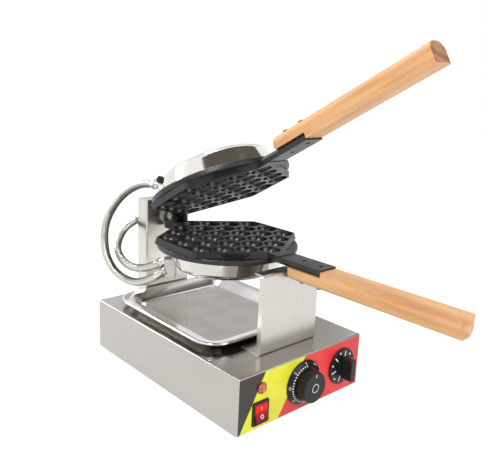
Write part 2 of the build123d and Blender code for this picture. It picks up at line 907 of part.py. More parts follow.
def mould_plate(name, place, lid):
    with BuildPart() as plate:
        # Round lower tier
        with BuildSketch(on(place, Plane.XY.offset(-plate_thickness))):
            Circle(disc_radius)
        extrude(amount=disc_tier)
        fillet(plate.edges(), radius=disc_round)
        # Hexagonal upper tier with flared sides
        for level, grow in ((-hex_tier, hex_flare), (0, 0)):
            with BuildSketch(on(place, Plane.XY.offset(level))) as hexagon:
                with BuildLine():
                    Polyline(*hex_outline(cell_margin + grow), close=True)
                make_face()
                fillet(hexagon.vertices(), radius=hex_corner)
        loft()
        # Neck
        neck_runs = (
            (neck_start_y, neck_step_y, 0),
            (neck_step_y, neck_end_y, neck_step),
        )
        for start_y, end_y, top_drop in neck_runs:
            with BuildSketch(on(place, Plane.XZ.offset(plate_y - start_y))):
                with BuildLine():
                    Polyline(*neck_section(top_drop), close=True)
                make_face()
            extrude(amount=start_y - end_y)
        with BuildSketch(on(place)):
            with Locations(*[(0, y - plate_y) for y in handle_hole_ys]):
                Circle(handle_hole_radius)
        extrude(amount=-neck_thickness, mode=Mode.SUBTRACT)
        # Hinge at the back
        pin_local_y = hinge_y - plate_y
        pin_local_z = hinge_lift if not lid else plate_gap - hinge_lift
        across = on(place, Plane.YZ)
        if lid:
            with BuildSketch(across):
                with BuildLine():
                    Polyline(
                        (hinge_root_y - plate_y, 0),
                        (pin_local_y, 0),
                        (pin_local_y, pin_local_z - hinge_eye_radius),
                        (hinge_root_y - plate_y, pin_local_z - hinge_eye_radius),
                        close=True,
                    )
                make_face()
                with Locations((pin_local_y, pin_local_z)):
                    Circle(hinge_eye_radius)
            extrude(amount=hinge_lug_half_width, both=True)
        else:
            ear_inner = hinge_lug_half_width + free_gap
            ear_outer = ear_inner + hinge_ear_width
            arm_end_y = pivot_boss_rear_y - plate_y
            with BuildSketch(across):
                with BuildLine():
                    Polyline(
                        (hinge_root_y - plate_y, -plate_thickness),
                        (arm_end_y, -plate_thickness),
                        (arm_end_y, arm_height - plate_thickness),
                        (hinge_root_y - plate_y, arm_height - plate_thickness),
                        close=True,
                    )
                make_face()
            extrude(amount=ear_outer, both=True)
            for side in (-1, 1):
                with BuildSketch(on(place, Plane.YZ.offset(side * ear_outer))):
                    with Locations((pin_local_y, pin_local_z)):
                        Circle(hinge_eye_radius)
                    with BuildLine():
                        Polyline(
                            (pin_local_y - hinge_eye_radius, pin_local_z),
                            (pin_local_y + hinge_eye_radius, pin_local_z),
                            (pin_local_y + hinge_eye_radius, -plate_thickness),
                            (pin_local_y - hinge_eye_radius, -plate_thickness),
                            close=True,
                        )
                    make_face()
                extrude(amount=-side * hinge_ear_width)
            boss_front = Plane.XZ.offset(plate_y - pivot_boss_front_y)
            boss_plane = on(place, boss_front)
            boss_depth = pivot_boss_rear_y - pivot_boss_front_y
            with BuildSketch(boss_plane):
                Circle(pivot_boss_radius)
                with Locations((0, -plate_thickness / 2)):
                    Rectangle(2 * pivot_boss_radius, plate_thickness)
            extrude(amount=-boss_depth)
            with BuildSketch(boss_plane):
                Circle(pivot_shaft_radius + seat_gap / 4)
            extrude(amount=-boss_depth, mode=Mode.SUBTRACT)
        pin_gap = running_gap if lid else seat_gap / 4
        with BuildSketch(across):
            with Locations((pin_local_y, pin_local_z)):
                Circle(hinge_pin_radius + pin_gap)
        extrude(
            amount=hinge_lug_half_width + hinge_ear_width + overrun,
            both=True,
            mode=Mode.SUBTRACT,
        )
        # Shallow channel that joins the cells, then the cells themselves
        with BuildSketch(on(place)):
            with BuildLine():
                Polyline(*hex_outline(cell_margin - channel_margin), close=True)
            make_face()
        extrude(amount=-channel_depth, mode=Mode.SUBTRACT)
        for x, y in cell_centres():
            with Locations(place * Location((x, y, cell_lift))):
                Sphere(cell_radius, mode=Mode.SUBTRACT)
    save(plate.part, name)


mould_plate("lower_mould_plate", lower_seat, False)
mould_plate("upper_mould_plate", upper_seat, True)


# Handle: wooden D-section with a lap that lies against the neck
def wooden_handle(name, place):
    start = handle_start_y - plate_y
    end = handle_end_y - plate_y
    step = neck_end_y - seat_gap - plate_y
    section = on(place, Plane.XZ.offset(-start))
    with BuildPart() as handle:
        with BuildSketch(section) as profile:
            with Locations((0, -handle_drop - handle_thickness / 2)):
                Rectangle(handle_width, handle_thickness)
            belly = profile.vertices().group_by(Axis.Y)[0]
            crown = profile.vertices().group_by(Axis.Y)[-1]
            fillet(belly, radius=handle_belly_round)
            fillet(crown, radius=handle_flat_round)
        extrude(amount=start - end)
        far_end = handle.faces().sort_by(Axis((0, 0, 0), section.z_dir))[-1]
        fillet(far_end.edges(), radius=handle_end_round)
        # Notch for the neck
        with BuildSketch(section):
            with Locations((0, -neck_thickness / 2)):
                Rectangle(handle_width + overrun, neck_thickness)
        extrude(amount=start - step, mode=Mode.SUBTRACT)
        # Screw holes and the flat spots under the heads
        outside = on(place, Plane.XY.offset(-handle_drop - handle_thickness))
        with BuildSketch(outside):
            with Locations(*[(0, y - plate_y) for y in handle_hole_ys]):
                Circle(handle_screw_radius + seat_gap)
        extrude(amount=handle_thickness, mode=Mode.SUBTRACT)
        with BuildSketch(outside):
            with Locations(*[(0, y - plate_y) for y in handle_hole_ys]):
                Circle(handle_head_radius + seat_gap)
        extrude(amount=handle_spot_depth, mode=Mode.SUBTRACT)
    save(handle.part, name)


wooden_handle("lower_handle", lower_seat)
wooden_handle("upper_handle", upper_seat)


def handle_screws(name, place):
    seat_level = -handle_drop - handle_thickness + handle_spot_depth
    with BuildPart() as screws:
        with BuildSketch(on(place, Plane.XY.offset(seat_level))):
            with Locations(*[(0, y - plate_y) for y in handle_hole_ys]):
                Circle(handle_head_radius)
        extrude(amount=-handle_head_height)
        with BuildSketch(on(place, Plane.XY.offset(seat_level))):
            with Locations(*[(0, y - plate_y) for y in handle_hole_ys]):
                Circle(handle_screw_radius)
        extrude(amount=-seat_level - neck_step - handle_screw_short)
    save(screws.part, name)


handle_screws("lower_handle_screws", lower_seat)
handle_screws("upper_handle_screws", upper_seat)


# Dome: spun stainless cover over the heating ring, screwed to the back of the plate
def dome(name, place):
    top = -plate_thickness
    bottom = top - dome_depth
    seat = on(place)
    with BuildPart() as cover:
        with BuildSketch(on(place, Plane.XZ)):
            for inset, mode in ((0, Mode.ADD), (dome_sheet, Mode.SUBTRACT)):
                with BuildLine():
                    FilletPolyline(
                        (0, bottom + inset),
                        (dome_bottom_radius - inset, bottom + inset),
                        (dome_radius - inset, top),
                        radius=dome_round - inset,
                    )
                    Polyline((0, bottom + inset), (0, top), (dome_radius - inset, top))
                make_face(mode=mode)
            with BuildLine():
                Polyline(
                    (dome_radius - dome_sheet, top),
                    (dome_flange_radius, top),
                    (dome_flange_radius, top - dome_sheet),
                    (dome_radius - dome_sheet - seat_gap, top - dome_sheet),
                    close=True,
                )
            make_face()
        revolve(axis=Axis(seat.origin, seat.z_dir))
        with BuildSketch(on(place, Plane.XY.offset(top))):
            with PolarLocations(dome_screw_circle, dome_screw_count):
                Circle(dome_screw_radius + seat_gap / 2)
        extrude(amount=-dome_sheet, mode=Mode.SUBTRACT)
    save(cover.part, name)


dome("lower_dome", lower_seat)
dome("upper_dome", upper_seat)


def dome_screws(name, place):
    level = -plate_thickness - dome_sheet
    with BuildPart() as screws:
        with BuildSketch(on(place, Plane.XY.offset(level))):
            with PolarLocations(dome_screw_circle, dome_screw_count):
                Circle(dome_screw_head_radius)
        extrude(amount=-dome_screw_head_height)
        with BuildSketch(on(place, Plane.XY.offset(level))):
            with PolarLocations(dome_screw_circle, dome_screw_count):
                Circle(dome_screw_radius)
        extrude(amount=dome_sheet)
    save(screws.part, name)


dome_screws("lower_dome_screws", lower_seat)
dome_screws("upper_dome_screws", upper_seat)


def heating_ring(name, place):
    level = -plate_thickness - ring_rod_radius - ring_gap
    with BuildPart() as ring:
        with Locations(place * Location((0, 0, level))):
            Torus(ring_circle_radius, ring_rod_radius)
    save(ring.part, name)


heating_ring("lower_heating_ring", lower_seat)
heating_ring("upper_heating_ring", upper_seat)

# Hinge pin with a head at each end
pin_half = hinge_lug_half_width + free_gap + hinge_ear_width
with BuildPart() as hinge_pin:
    with BuildSketch(Plane.YZ):
        with Locations((hinge_y, hinge_z)):
            Circle(hinge_pin_radius)
    extrude(amount=pin_half + seat_gap, both=True)
    for side in (-1, 1):
        with BuildSketch(Plane.YZ.offset(side * (pin_half + seat_gap))):
            with Locations((hinge_y, hinge_z)):
                Circle(hinge_pin_head_radius)
        extrude(amount=side * hinge_pin_head)
save(hinge_pin.part, "hinge_pin")


# Pivot: shaft, thrust washer and nut turn with the plates, the flanged bearing stays in the column
def pivot_plane(y):
    return Plane(origin=(0, y, parting_z), x_dir=(-1, 0, 0), z_dir=(0, 1, 0))


nut_front_y = column_y + pivot_spigot_depth + seat_gap
with BuildPart() as pivot_shaft:
    with BuildSketch(pivot_plane(pivot_boss_front_y)):
        Circle(pivot_shaft_radius)
    extrude(amount=nut_front_y + pivot_nut_depth + pivot_shaft_tail - pivot_boss_front_y)
save(pivot_shaft.part, "pivot_shaft")

with BuildPart() as thrust_washer:
    with BuildSketch(pivot_plane(pivot_boss_rear_y + seat_gap)):
        Circle(pivot_washer_radius)
        Circle(pivot_shaft_radius + seat_gap / 4, mode=Mode.SUBTRACT)
    extrude(amount=pivot_washer)
save(thrust_washer.part, "thrust_washer")

with BuildPart() as pivot_bearing:
    with BuildSketch(pivot_plane(bearing_front_y)):
        Circle(pivot_bearing_radius)
    extrude(amount=pivot_bearing_flange)
    with BuildSketch(pivot_plane(column_y)):
        Circle(pivot_spigot_radius)
    extrude(amount=pivot_spigot_depth)
    with BuildSketch(pivot_plane(bearing_front_y)):
        Circle(pivot_shaft_radius + running_gap)
    extrude(amount=pivot_bearing_flange + pivot_spigot_depth, mode=Mode.SUBTRACT)
save(pivot_bearing.part, "pivot_bearing")

with BuildPart() as pivot_nut:
    with BuildSketch(pivot_plane(nut_front_y)):
        RegularPolygon(pivot_nut_flats / 2, 6, major_radius=False)
        Circle(pivot_shaft_radius + seat_gap / 4, mode=Mode.SUBTRACT)
    extrude(amount=pivot_nut_depth)
save(pivot_nut.part, "pivot_nut")

# Conduit routes, from fitting to fitting
outer_route = [
    (-65, 108, 294),
    (-69, 131, 293),
    (-81, 161, 276),
    (-95, 178, 251),
    (-108, 184, 221),
    (-114, 179, 191),
    (-116, 166, 163),
    (-110, 143, 141),
    (-98, 114, 133),
    (-87, 89, 141),
    (-80, 73, 153),
]
inner_route = [
    (-41, 194, 215),
    (-61, 193, 209),
    (-80, 186, 193),
    (-94, 173, 176),
    (-97, 151, 162),
    (-94, 126, 155),
    (-83, 98, 159),
    (-76, 80, 169),
]


def corner_radii(route):
    points = [Vector(*point) for point in route]
    radii = []
    for before, here, after in zip(points, points[1:], points[2:]):
        shorter = min((here - before).length, (after - here).length)
        turn = math.radians((here - before).get_angle(after - here))
        radii.append(0.45 * shorter / math.tan(turn / 2))
    return radii


def conduit(name, route):
    radii = corner_radii(route)
    start = Vector(*route[0])
    ahead = Vector(*route[1])
    with BuildPart() as hose:
        with BuildLine() as path:
            FilletPolyline(*route, radius=radii)
        with BuildSketch(Plane(origin=start, z_dir=ahead - start)):
            Circle(conduit_radius)
        sweep()
    length = sum(edge.length for edge in path.edges())
    section = math.pi * conduit_radius**2
    print(name, "length", round(length, 1), "radii", [round(r) for r in radii])
    print(name, "volume", round(hose.part.volume), "against", round(section * length))
    save(hose.part, name)


conduit("outer_conduit", outer_route)
conduit("inner_conduit", inner_route)



# Seat of a junction box: out from the dome's axis at an angle, under the plate's face
def box_seat(place, angle, reach, drop):
    spoke = place * Location((0, 0, 0), (0, 0, angle))
    return spoke * Location((reach, 0, -drop))


# Junction box of each plate: a small cast box against the side of the dome
def junction_box(name, place, centre, length, width, height):
    with BuildPart() as box:
        with BuildSketch(on(centre)):
            RectangleRounded(length, width, block_round)
        extrude(amount=-height)
        with BuildSketch(on(place, Plane.XZ)):
            with BuildLine():
                Polyline(
                    (0, -plate_thickness),
                    (dome_radius + seat_gap, -plate_thickness),
                    (dome_bottom_radius + seat_gap, -plate_thickness - dome_depth),
                    (0, -plate_thickness - dome_depth),
                    close=True,
                )
            make_face()
        seat = on(place)
        revolve(axis=Axis(seat.origin, seat.z_dir), mode=Mode.SUBTRACT)
    save(box.part, name)
    return box.part


lower_box_seat = box_seat(
    lower_seat,
    lower_box_angle,
    lower_box_reach - lower_box_length / 2,
    lower_box_top_drop,
)
upper_box_seat = box_seat(
    upper_seat,
    180 - upper_box_angle,
    upper_box_reach - upper_box_length / 2,
    upper_box_top_drop,
)
lower_box = junction_box(
    "lower_junction_box",
    lower_seat,
    lower_box_seat,
    lower_box_length,
    lower_box_width,
    lower_box_height,
)
upper_box = junction_box(
    "upper_junction_box",
    upper_seat,
    upper_box_seat,
    upper_box_length,
    upper_box_width,
    upper_box_height,
)


# Ferrules: crimped sleeve and hex nut that hold each conduit's end in its fitting
def ferrule(name, ends, hub, length):
    with BuildPart() as sleeve:
        for end, beside, collar in ends:
            away = Vector(*end) - Vector(*beside)
            mouth = Plane(origin=Vector(*end), z_dir=away)
            with BuildSketch(mouth):
                Circle(ferrule_radius)
            extrude(amount=length)
            with BuildSketch(mouth.offset(collar)):
                RegularPolygon(ferrule_flats / 2, 6, major_radius=False)
            extrude(amount=ferrule_nut)
        add(hub, mode=Mode.SUBTRACT)
    save(sleeve.part, name)


ferrule(
    "lower_ferrules",
    [
        (outer_route[-1], outer_route[-2], outer_collar),
        (inner_route[-1], inner_route[-2], inner_collar),
    ],
    lower_box,
    lower_ferrule_length,
)
ferrule(
    "upper_ferrule",
    [(outer_route[0], outer_route[1], upper_collar)],
    upper_box,
    upper_ferrule_length,
)

# Black nut with its stud on the side of the lid's junction box
nut_plane = on(
    upper_box_seat,
    Plane(
        origin=(-block_nut_inset, -upper_box_width / 2, -block_nut_drop),
        x_dir=(1, 0, 0),
        z_dir=(0, -1, 0),
    ),
)
with BuildPart() as upper_nut:
    with BuildSketch(nut_plane):
        RegularPolygon(block_nut_flats / 2, 6, major_radius=False, rotation=30)
    extrude(amount=block_nut_height)
    with BuildSketch(nut_plane.offset(block_nut_height)):
        Circle(block_stud_radius)
    extrude(amount=block_stud_length)
save(upper_nut.part, "upper_nut")

# Elbow on the column's back cover that the inner conduit leaves
with BuildPart() as conduit_elbow:
    with BuildSketch(rear_plane(elbow_x, column_y + column_depth, elbow_z)):
        RegularPolygon(elbow_flange_flats / 2, 6, major_radius=False)
    extrude(amount=elbow_flange)
    with BuildSketch(rear_plane(elbow_x, column_y + column_depth, elbow_z)):
        Circle(elbow_radius)
    extrude(amount=elbow_length)
    fillet(conduit_elbow.faces().sort_by(Axis.Y)[-1].edges(), radius=elbow_round)
    outlet = Vector(*inner_route[0])
    flow = outlet - Vector(*inner_route[1])
    with BuildSketch(Plane(origin=outlet, z_dir=flow)):
        Circle(ferrule_radius)
    extrude(amount=abs(outlet.X - elbow_x))
save(conduit_elbow.part, "conduit_elbow")
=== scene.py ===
import math

import bmesh
import bpy
from mathutils import Matrix, Vector


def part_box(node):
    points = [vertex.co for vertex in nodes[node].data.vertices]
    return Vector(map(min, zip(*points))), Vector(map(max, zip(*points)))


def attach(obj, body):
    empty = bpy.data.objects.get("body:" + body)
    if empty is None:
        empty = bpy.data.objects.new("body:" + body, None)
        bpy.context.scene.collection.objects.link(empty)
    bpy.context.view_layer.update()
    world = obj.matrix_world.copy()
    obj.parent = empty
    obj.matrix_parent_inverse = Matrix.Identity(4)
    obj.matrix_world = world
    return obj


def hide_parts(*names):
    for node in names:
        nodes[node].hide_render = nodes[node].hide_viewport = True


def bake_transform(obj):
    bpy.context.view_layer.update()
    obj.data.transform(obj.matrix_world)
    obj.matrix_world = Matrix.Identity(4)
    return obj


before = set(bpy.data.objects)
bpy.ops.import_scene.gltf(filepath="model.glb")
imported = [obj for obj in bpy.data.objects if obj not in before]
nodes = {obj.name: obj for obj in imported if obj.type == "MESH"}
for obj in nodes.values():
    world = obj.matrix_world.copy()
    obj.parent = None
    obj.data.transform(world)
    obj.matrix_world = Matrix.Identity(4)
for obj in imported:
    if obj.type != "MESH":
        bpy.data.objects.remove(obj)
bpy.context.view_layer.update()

# Camera: stands in front of the machine, to its left and a little above it.
# It is rolled slightly, so the upright edges lean a little.
camera = bpy.data.objects.new("camera", bpy.data.cameras.new("camera"))
bpy.context.collection.objects.link(camera)
camera_turn = Matrix.Rotation(math.radians(-42.18), 4, "Z")
camera_tilt = Matrix.Rotation(math.radians(90 - 13.45), 4, "X")
camera_roll = Matrix.Rotation(math.radians(2.4), 4, "Z")
camera_place = Matrix.Translation((-0.6096, -0.7059, 0.4646))
camera.matrix_world = camera_place @ camera_turn @ camera_tilt @ camera_roll
camera.data.sensor_fit = "HORIZONTAL"
camera.data.sensor_width = 36
camera.data.lens = 45.95
camera.data.clip_start = 0.01
bpy.context.scene.camera = camera
bpy.context.scene.view_settings.view_transform = "Standard"


# The two flexible conduits: smooth inner hose in a braided steel sleeve, 13 mm thick.
# The outer one joins the two plates and the inner one joins the column to the lower plate,
# so each spans one hinge.
def linear(red, green, blue):
    """A colour of 0 to 255, as a screen shows it, in the shader's own scale"""
    return tuple(((part / 255 + 0.055) / 1.055) ** 2.4 for part in (red, green, blue))


def new_finish(name, colour, roughness, metallic=0.0):
    finish = bpy.data.materials.new(name)
    finish.use_nodes = True
    shader = finish.node_tree.nodes["Principled BSDF"]
    shader.inputs["Base Color"].default_value = (*colour, 1)
    shader.inputs["Roughness"].default_value = roughness
    shader.inputs["Metallic"].default_value = metallic
    return finish


def add_node(finish, kind, sockets, **settings):
    """One more node in a finish; each socket takes a value or another node's output"""
    node = finish.node_tree.nodes.new("ShaderNode" + kind)
    for name, value in settings.items():
        setattr(node, name, value)
    for name, value in sockets.items():
        if isinstance(value, bpy.types.NodeSocket):
            finish.node_tree.links.new(value, node.inputs[name])
        else:
            node.inputs[name].default_value = value
    return node


def shader_socket(finish, name):
    return finish.node_tree.nodes["Principled BSDF"].inputs[name]


def tint(finish, value, stops):
    """Colours the finish along a pattern's value"""
    ramp = add_node(finish, "ValToRGB", {"Fac": value})
    steps = ramp.color_ramp.elements
    while len(steps) < len(stops):
        steps.new(1)
    for step, (place, colour) in zip(steps, stops):
        step.position = place
        step.color = (*colour, 1)
    finish.node_tree.links.new(ramp.outputs["Color"], shader_socket(finish, "Base Color"))


def vary(finish, value, socket, low, high):
    """Lets a pattern's value move a shader socket between two limits"""
    spread = add_node(
        finish, "MapRange", {"Value": value, "To Min": low, "To Max": high}
    )
    finish.node_tree.links.new(spread.outputs["Result"], shader_socket(finish, socket))


def relief(finish, height, depth):
    """Raises a pattern as fine relief, on top of any that is there"""
    normal = shader_socket(finish, "Normal")
    bump = add_node(finish, "Bump", {"Height": height, "Distance": depth})
    if normal.is_linked:
        finish.node_tree.links.new(normal.links[0].from_socket, bump.inputs["Normal"])
    finish.node_tree.links.new(bump.outputs["Normal"], normal)


def combine(finish, operation, first, second=0.0):
    sum_node = add_node(finish, "Math", {0: first, 1: second}, operation=operation)
    return sum_node.outputs[0]


hose_radius = 0.0065
hose_sides = 28
# The braid is painted darker along the inside of each bend, as painted shade; these values set
# where it begins, how far it spreads and how dark it gets.
shade_start = 0.25
shade_reach = 0.6
shade_depth = 1.15
outer_route = [
    (-0.065, 0.108, 0.294),
    (-0.069, 0.131, 0.293),
    (-0.081, 0.161, 0.276),
    (-0.095, 0.178, 0.251),
    (-0.108, 0.184, 0.221),
    (-0.114, 0.179, 0.191),
    (-0.116, 0.166, 0.163),
    (-0.110, 0.143, 0.141),
    (-0.098, 0.114, 0.133),
    (-0.087, 0.089, 0.141),
    (-0.080, 0.073, 0.153),
]
inner_route = [
    (-0.041, 0.194, 0.215),
    (-0.061, 0.193, 0.209),
    (-0.080, 0.186, 0.193),
    (-0.094, 0.173, 0.176),
    (-0.097, 0.151, 0.162),
    (-0.094, 0.126, 0.155),
    (-0.083, 0.098, 0.159),
    (-0.076, 0.080, 0.169),
]

braid_finish = new_finish("braided_steel", linear(226, 224, 220), 0.24, 0.8)
braid_place = add_node(braid_finish, "UVMap", {}, uv_map="braid")
braid_parts = add_node(
    braid_finish, "SeparateXYZ", {"Vector": braid_place.outputs["UV"]}
)
braid_round, braid_along = braid_parts.outputs["X"], braid_parts.outputs["Y"]
strands_round = 12
braid_waves = []
for lean in ("ADD", "SUBTRACT"):
    phase = combine(braid_finish, lean, braid_round, braid_along)
    angle = combine(braid_finish, "MULTIPLY", phase, 2 * math.pi * strands_round)
    braid_waves.append(combine(braid_finish, "SINE", angle))
braid_height = combine(braid_finish, "MAXIMUM", *braid_waves)
braid_cross = combine(braid_finish, "MULTIPLY", *braid_waves)
braid_bend = add_node(braid_finish, "UVMap", {}, uv_map="bend")
bend_parts = add_node(braid_finish, "SeparateXYZ", {"Vector": braid_bend.outputs["UV"]})
# The bend map carries that painted shade, which is taken off the braid's tone.
braid_painted_shade = combine(braid_finish, "MULTIPLY", bend_parts.outputs["X"], shade_depth)
tint(
    braid_finish,
    combine(braid_finish, "SUBTRACT", braid_height, braid_painted_shade),
    [
        (0.0, linear(100, 98, 93)),
        (0.2, linear(176, 174, 169)),
        (0.5, linear(224, 222, 217)),
        (1.0, linear(238, 236, 231)),
    ],
)
relief(braid_finish, braid_height, 0.00012)
relief(braid_finish, braid_cross, 0.00005)


def into_scene(mesh, name, finish):
    """A finished bmesh becomes a shown object, with its place in its mesh"""
    bmesh.ops.recalc_face_normals(mesh, faces=mesh.faces)
    data = bpy.data.meshes.new(name)
    mesh.to_mesh(data)
    mesh.free()
    piece = bpy.data.objects.new(name, data)
    piece.data.materials.append(finish)
    bpy.context.collection.objects.link(piece)
    return piece


def centre_line(route):
    """Points along the smooth curve that a hose takes between its fittings"""
    data = bpy.data.curves.new("line", "CURVE")
    data.dimensions = "3D"
    spline = data.splines.new("NURBS")
    spline.points.add(len(route) - 1)
    for point, place in zip(spline.points, route):
        point.co = (*place, 1)
    spline.order_u = 3
    spline.use_endpoint_u = True
    spline.resolution_u = 14
    holder = bpy.data.objects.new("line", data)
    bpy.context.collection.objects.link(holder)
    line = bpy.data.meshes.new_from_object(holder)
    points = [vertex.co.copy() for vertex in line.vertices]
    bpy.data.objects.remove(holder)
    return points


def conduit(name, route):
    """A braided hose along its route, closed at both ends, and the points of its middle"""
    points = centre_line(route)
    tube = bmesh.new()
    rings = []
    places = {}
    bends = {}
    side = Vector((1, 0, 0))
    travelled = 0.0
    for step, point in enumerate(points):
        before = points[max(step - 1, 0)]
        after = points[min(step + 1, len(points) - 1)]
        ahead = (after - before).normalized()
        side = (side - side.dot(ahead) * ahead).normalized()
        travelled += (point - before).length
        turn = Matrix((side, ahead.cross(side), ahead)).transposed().to_4x4()
        made = bmesh.ops.create_circle(
            tube,
            cap_ends=False,
            segments=hose_sides,
            radius=hose_radius,
            matrix=Matrix.Translation(point) @ turn,
        )
        # How far each point lies on the inside of the bend, for the painted shade there.
        inward = (after - point).normalized() - (point - before).normalized()
        for corner, vertex in enumerate(made["verts"]):
            places[vertex] = (corner, travelled / (2 * math.pi * hose_radius))
            inside = (vertex.co - point).dot(inward) / hose_radius / max(inward.length, 1e-6)
            bends[vertex] = min(max((inside - shade_start) / shade_reach, 0.0), 1.0)
        rings.append({edge for vertex in made["verts"] for edge in vertex.link_edges})
    for ring, following in zip(rings, rings[1:]):
        bmesh.ops.bridge_loops(tube, edges=list(ring | following))
    braid_map = tube.loops.layers.uv.new("braid")
    bend_map = tube.loops.layers.uv.new("bend")
    for face in tube.faces:
        face.smooth = True
        corners = [places[loop.vert][0] for loop in face.loops]
        wraps = max(corners) - min(corners) > hose_sides / 2
        for loop in face.loops:
            corner, along = places[loop.vert]
            if wraps and corner == 0:
                corner = hose_sides
            loop[braid_map].uv = (corner / hose_sides, along)
            loop[bend_map].uv = (bends[loop.vert], 0)
    for ring in (rings[0], rings[-1]):
        bmesh.ops.contextual_create(tube, geom=list(ring))
    piece = into_scene(tube, name, braid_finish)
    return piece, points


outer_conduit, outer_points = conduit("outer_conduit_braid", outer_route)
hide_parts("outer_conduit")
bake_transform(outer_conduit)

inner_conduit, inner_points = conduit("inner_conduit_braid", inner_route)
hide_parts("inner_conduit")
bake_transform(inner_conduit)


# Studio: a pale floor that keeps a soft shadow, with white all round, which the camera and the
# reflections see. The lamps are large and soft. Cards that show in reflections alone, most of
# them dark, give the polished steel its shape.
world = bpy.data.worlds.new("studio")
bpy.context.scene.world = world
world.use_nodes = True
world.node_tree.nodes.clear()


def white_for_views(material):
    """1 for camera, mirror and glass rays, 0 for the rays that light the object"""
    rays = add_node(material, "LightPath", {})
    seen = combine(
        material, "MAXIMUM", rays.outputs["Is Camera Ray"], rays.outputs["Is Glossy Ray"]
    )
    return combine(material, "MAXIMUM", seen, rays.outputs["Is Transmission Ray"])


world_white = add_node(
    world, "Background", {"Color": (1, 1, 1, 1), "Strength": 1.0}
)
world_light = add_node(
    world, "Background", {"Color": (0.97, 0.98, 1, 1), "Strength": 0.55}
)
world_mix = add_node(
    world,
    "MixShader",
    {
        0: white_for_views(world),
        1: world_light.outputs[0],
        2: world_white.outputs[0],
    },
)
add_node(world, "OutputWorld", {"Surface": world_mix.outputs[0]})

floor_finish = new_finish("floor_paper", (0.82, 0.82, 0.82), 0.9)
floor_tree = floor_finish.node_tree
floor_diffuse = add_node(floor_finish, "BsdfDiffuse", {"Color": (0.3, 0.3, 0.3, 1)})
floor_glow = add_node(
    floor_finish, "Emission", {"Color": (1, 1, 1, 1), "Strength": 0.86}
)
floor_seen = add_node(
    floor_finish,
    "AddShader",
    {0: floor_diffuse.outputs[0], 1: floor_glow.outputs[0]},
)
floor_mix = add_node(
    floor_finish,
    "MixShader",
    {
        0: white_for_views(floor_finish),
        1: floor_tree.nodes["Principled BSDF"].outputs[0],
        2: floor_seen.outputs[0],
    },
)
floor_tree.links.new(
    floor_mix.outputs[0], floor_tree.nodes["Material Output"].inputs["Surface"]
)
floor_mesh = bmesh.new()
bmesh.ops.create_grid(floor_mesh, x_segments=2, y_segments=2, size=6.0)
floor = into_scene(floor_mesh, "floor", floor_finish)


def lamp(name, place, aim, size, power):
    data = bpy.data.lights.new(name, "AREA")
    data.shape = "DISK"
    data.size = size
    data.energy = power
    light = bpy.data.objects.new(name, data)
    bpy.context.collection.objects.link(light)
    towards = Vector(aim) - Vector(place)
    light.matrix_world = Matrix.Translation(place) @ towards.to_track_quat(
        "-Z", "Y"
    ).to_matrix().to_4x4()


middle = (0, -0.05, 0.18)
lamp("key_lamp", (-1.5, -0.9, 1.7), middle, 0.4, 20)
lamp("top_lamp", (0.1, 0.9, 1.7), middle, 0.35, 12)
lamp("front_lamp", (0.3, -1.9, 1.0), middle, 0.8, 12)
lamp("edge_lamp", (-0.95, 1.7, 1.2), middle, 0.7, 11)


def card(name, place, aim, width, height, tone):
    """A card that glows with its tone, seen in reflections alone"""
    card_finish = new_finish(name, (0, 0, 0), 1.0)
    shader_socket(card_finish, "Emission Color").default_value = (*tone, 1)
    shader_socket(card_finish, "Emission Strength").default_value = 1.0
    mesh = bmesh.new()
    bmesh.ops.create_grid(mesh, x_segments=1, y_segments=1, size=0.5)
    bmesh.ops.scale(mesh, vec=(width, height, 1), verts=mesh.verts)
    towards = Vector(aim) - Vector(place)
    turn = towards.to_track_quat("-Z", "Y").to_matrix().to_4x4()
    bmesh.ops.transform(mesh, matrix=Matrix.Translation(place) @ turn, verts=mesh.verts)
    piece = into_scene(mesh, name, card_finish)
    piece.visible_camera = False
    piece.visible_diffuse = False
    piece.visible_shadow = False
    piece.visible_transmission = False


card("right_card", (1.3, -0.5, 0.5), middle, 1.2, 1.6, (0.05, 0.045, 0.04))
card("left_overhead_card", (-0.35, -0.1, 1.65), (-0.35, -0.1, 0), 1.3, 0.9, (0.1, 0.085, 0.07))
card("right_overhead_card", (1.0, 0.05, 1.65), (1.0, 0.05, 0), 1.5, 0.8, (0.1, 0.085, 0.07))
card("near_card", (-1.6, -1.9, 0.9), middle, 2.2, 1.2, (0.05, 0.045, 0.04))
card("high_card", (0.7, 1.9, 1.9), middle, 1.6, 0.9, (0.66, 0.65, 0.64))
card("back_card", (1.75, 1.85, 1.15), (0, 0, 0.1), 1.3, 0.75, (0.47, 0.455, 0.44))
card("edge_card", (0.84, -0.54, 0.88), (0, -0.18, 0.09), 0.34, 0.62, (1.4, 1.4, 1.4))


# Base housing: one folded shell of brushed stainless sheet, open below.
# A vented plate closes it from beneath, and the grain runs the length of each face.
def own_place(finish, stretch=(1, 1, 1), turn=(0, 0, 0), centre=(0, 0, 0)):
    place = add_node(finish, "TexCoord", {})
    sockets = {
        "Vector": place.outputs["Object"],
        "Location": centre,
        "Rotation": turn,
        "Scale": tuple(1 / part for part in stretch),
    }
    return add_node(finish, "Mapping", sockets, vector_type="TEXTURE")


def pattern(finish, kind, scale, stretch=(1, 1, 1), turn=(0, 0, 0), centre=(0, 0, 0), **more):
    """A texture in the frame of a piece, with a centre, a turn and a scale along each axis"""
    mapped = own_place(finish, stretch, turn, centre)
    sockets = {"Vector": mapped.outputs["Vector"], "Scale": scale}
    settings = {}
    for name, value in more.items():
        if name.islower():
            settings[name] = value
        else:
            sockets[name.replace("_", " ")] = value
    return add_node(finish, "Tex" + kind, sockets, **settings)


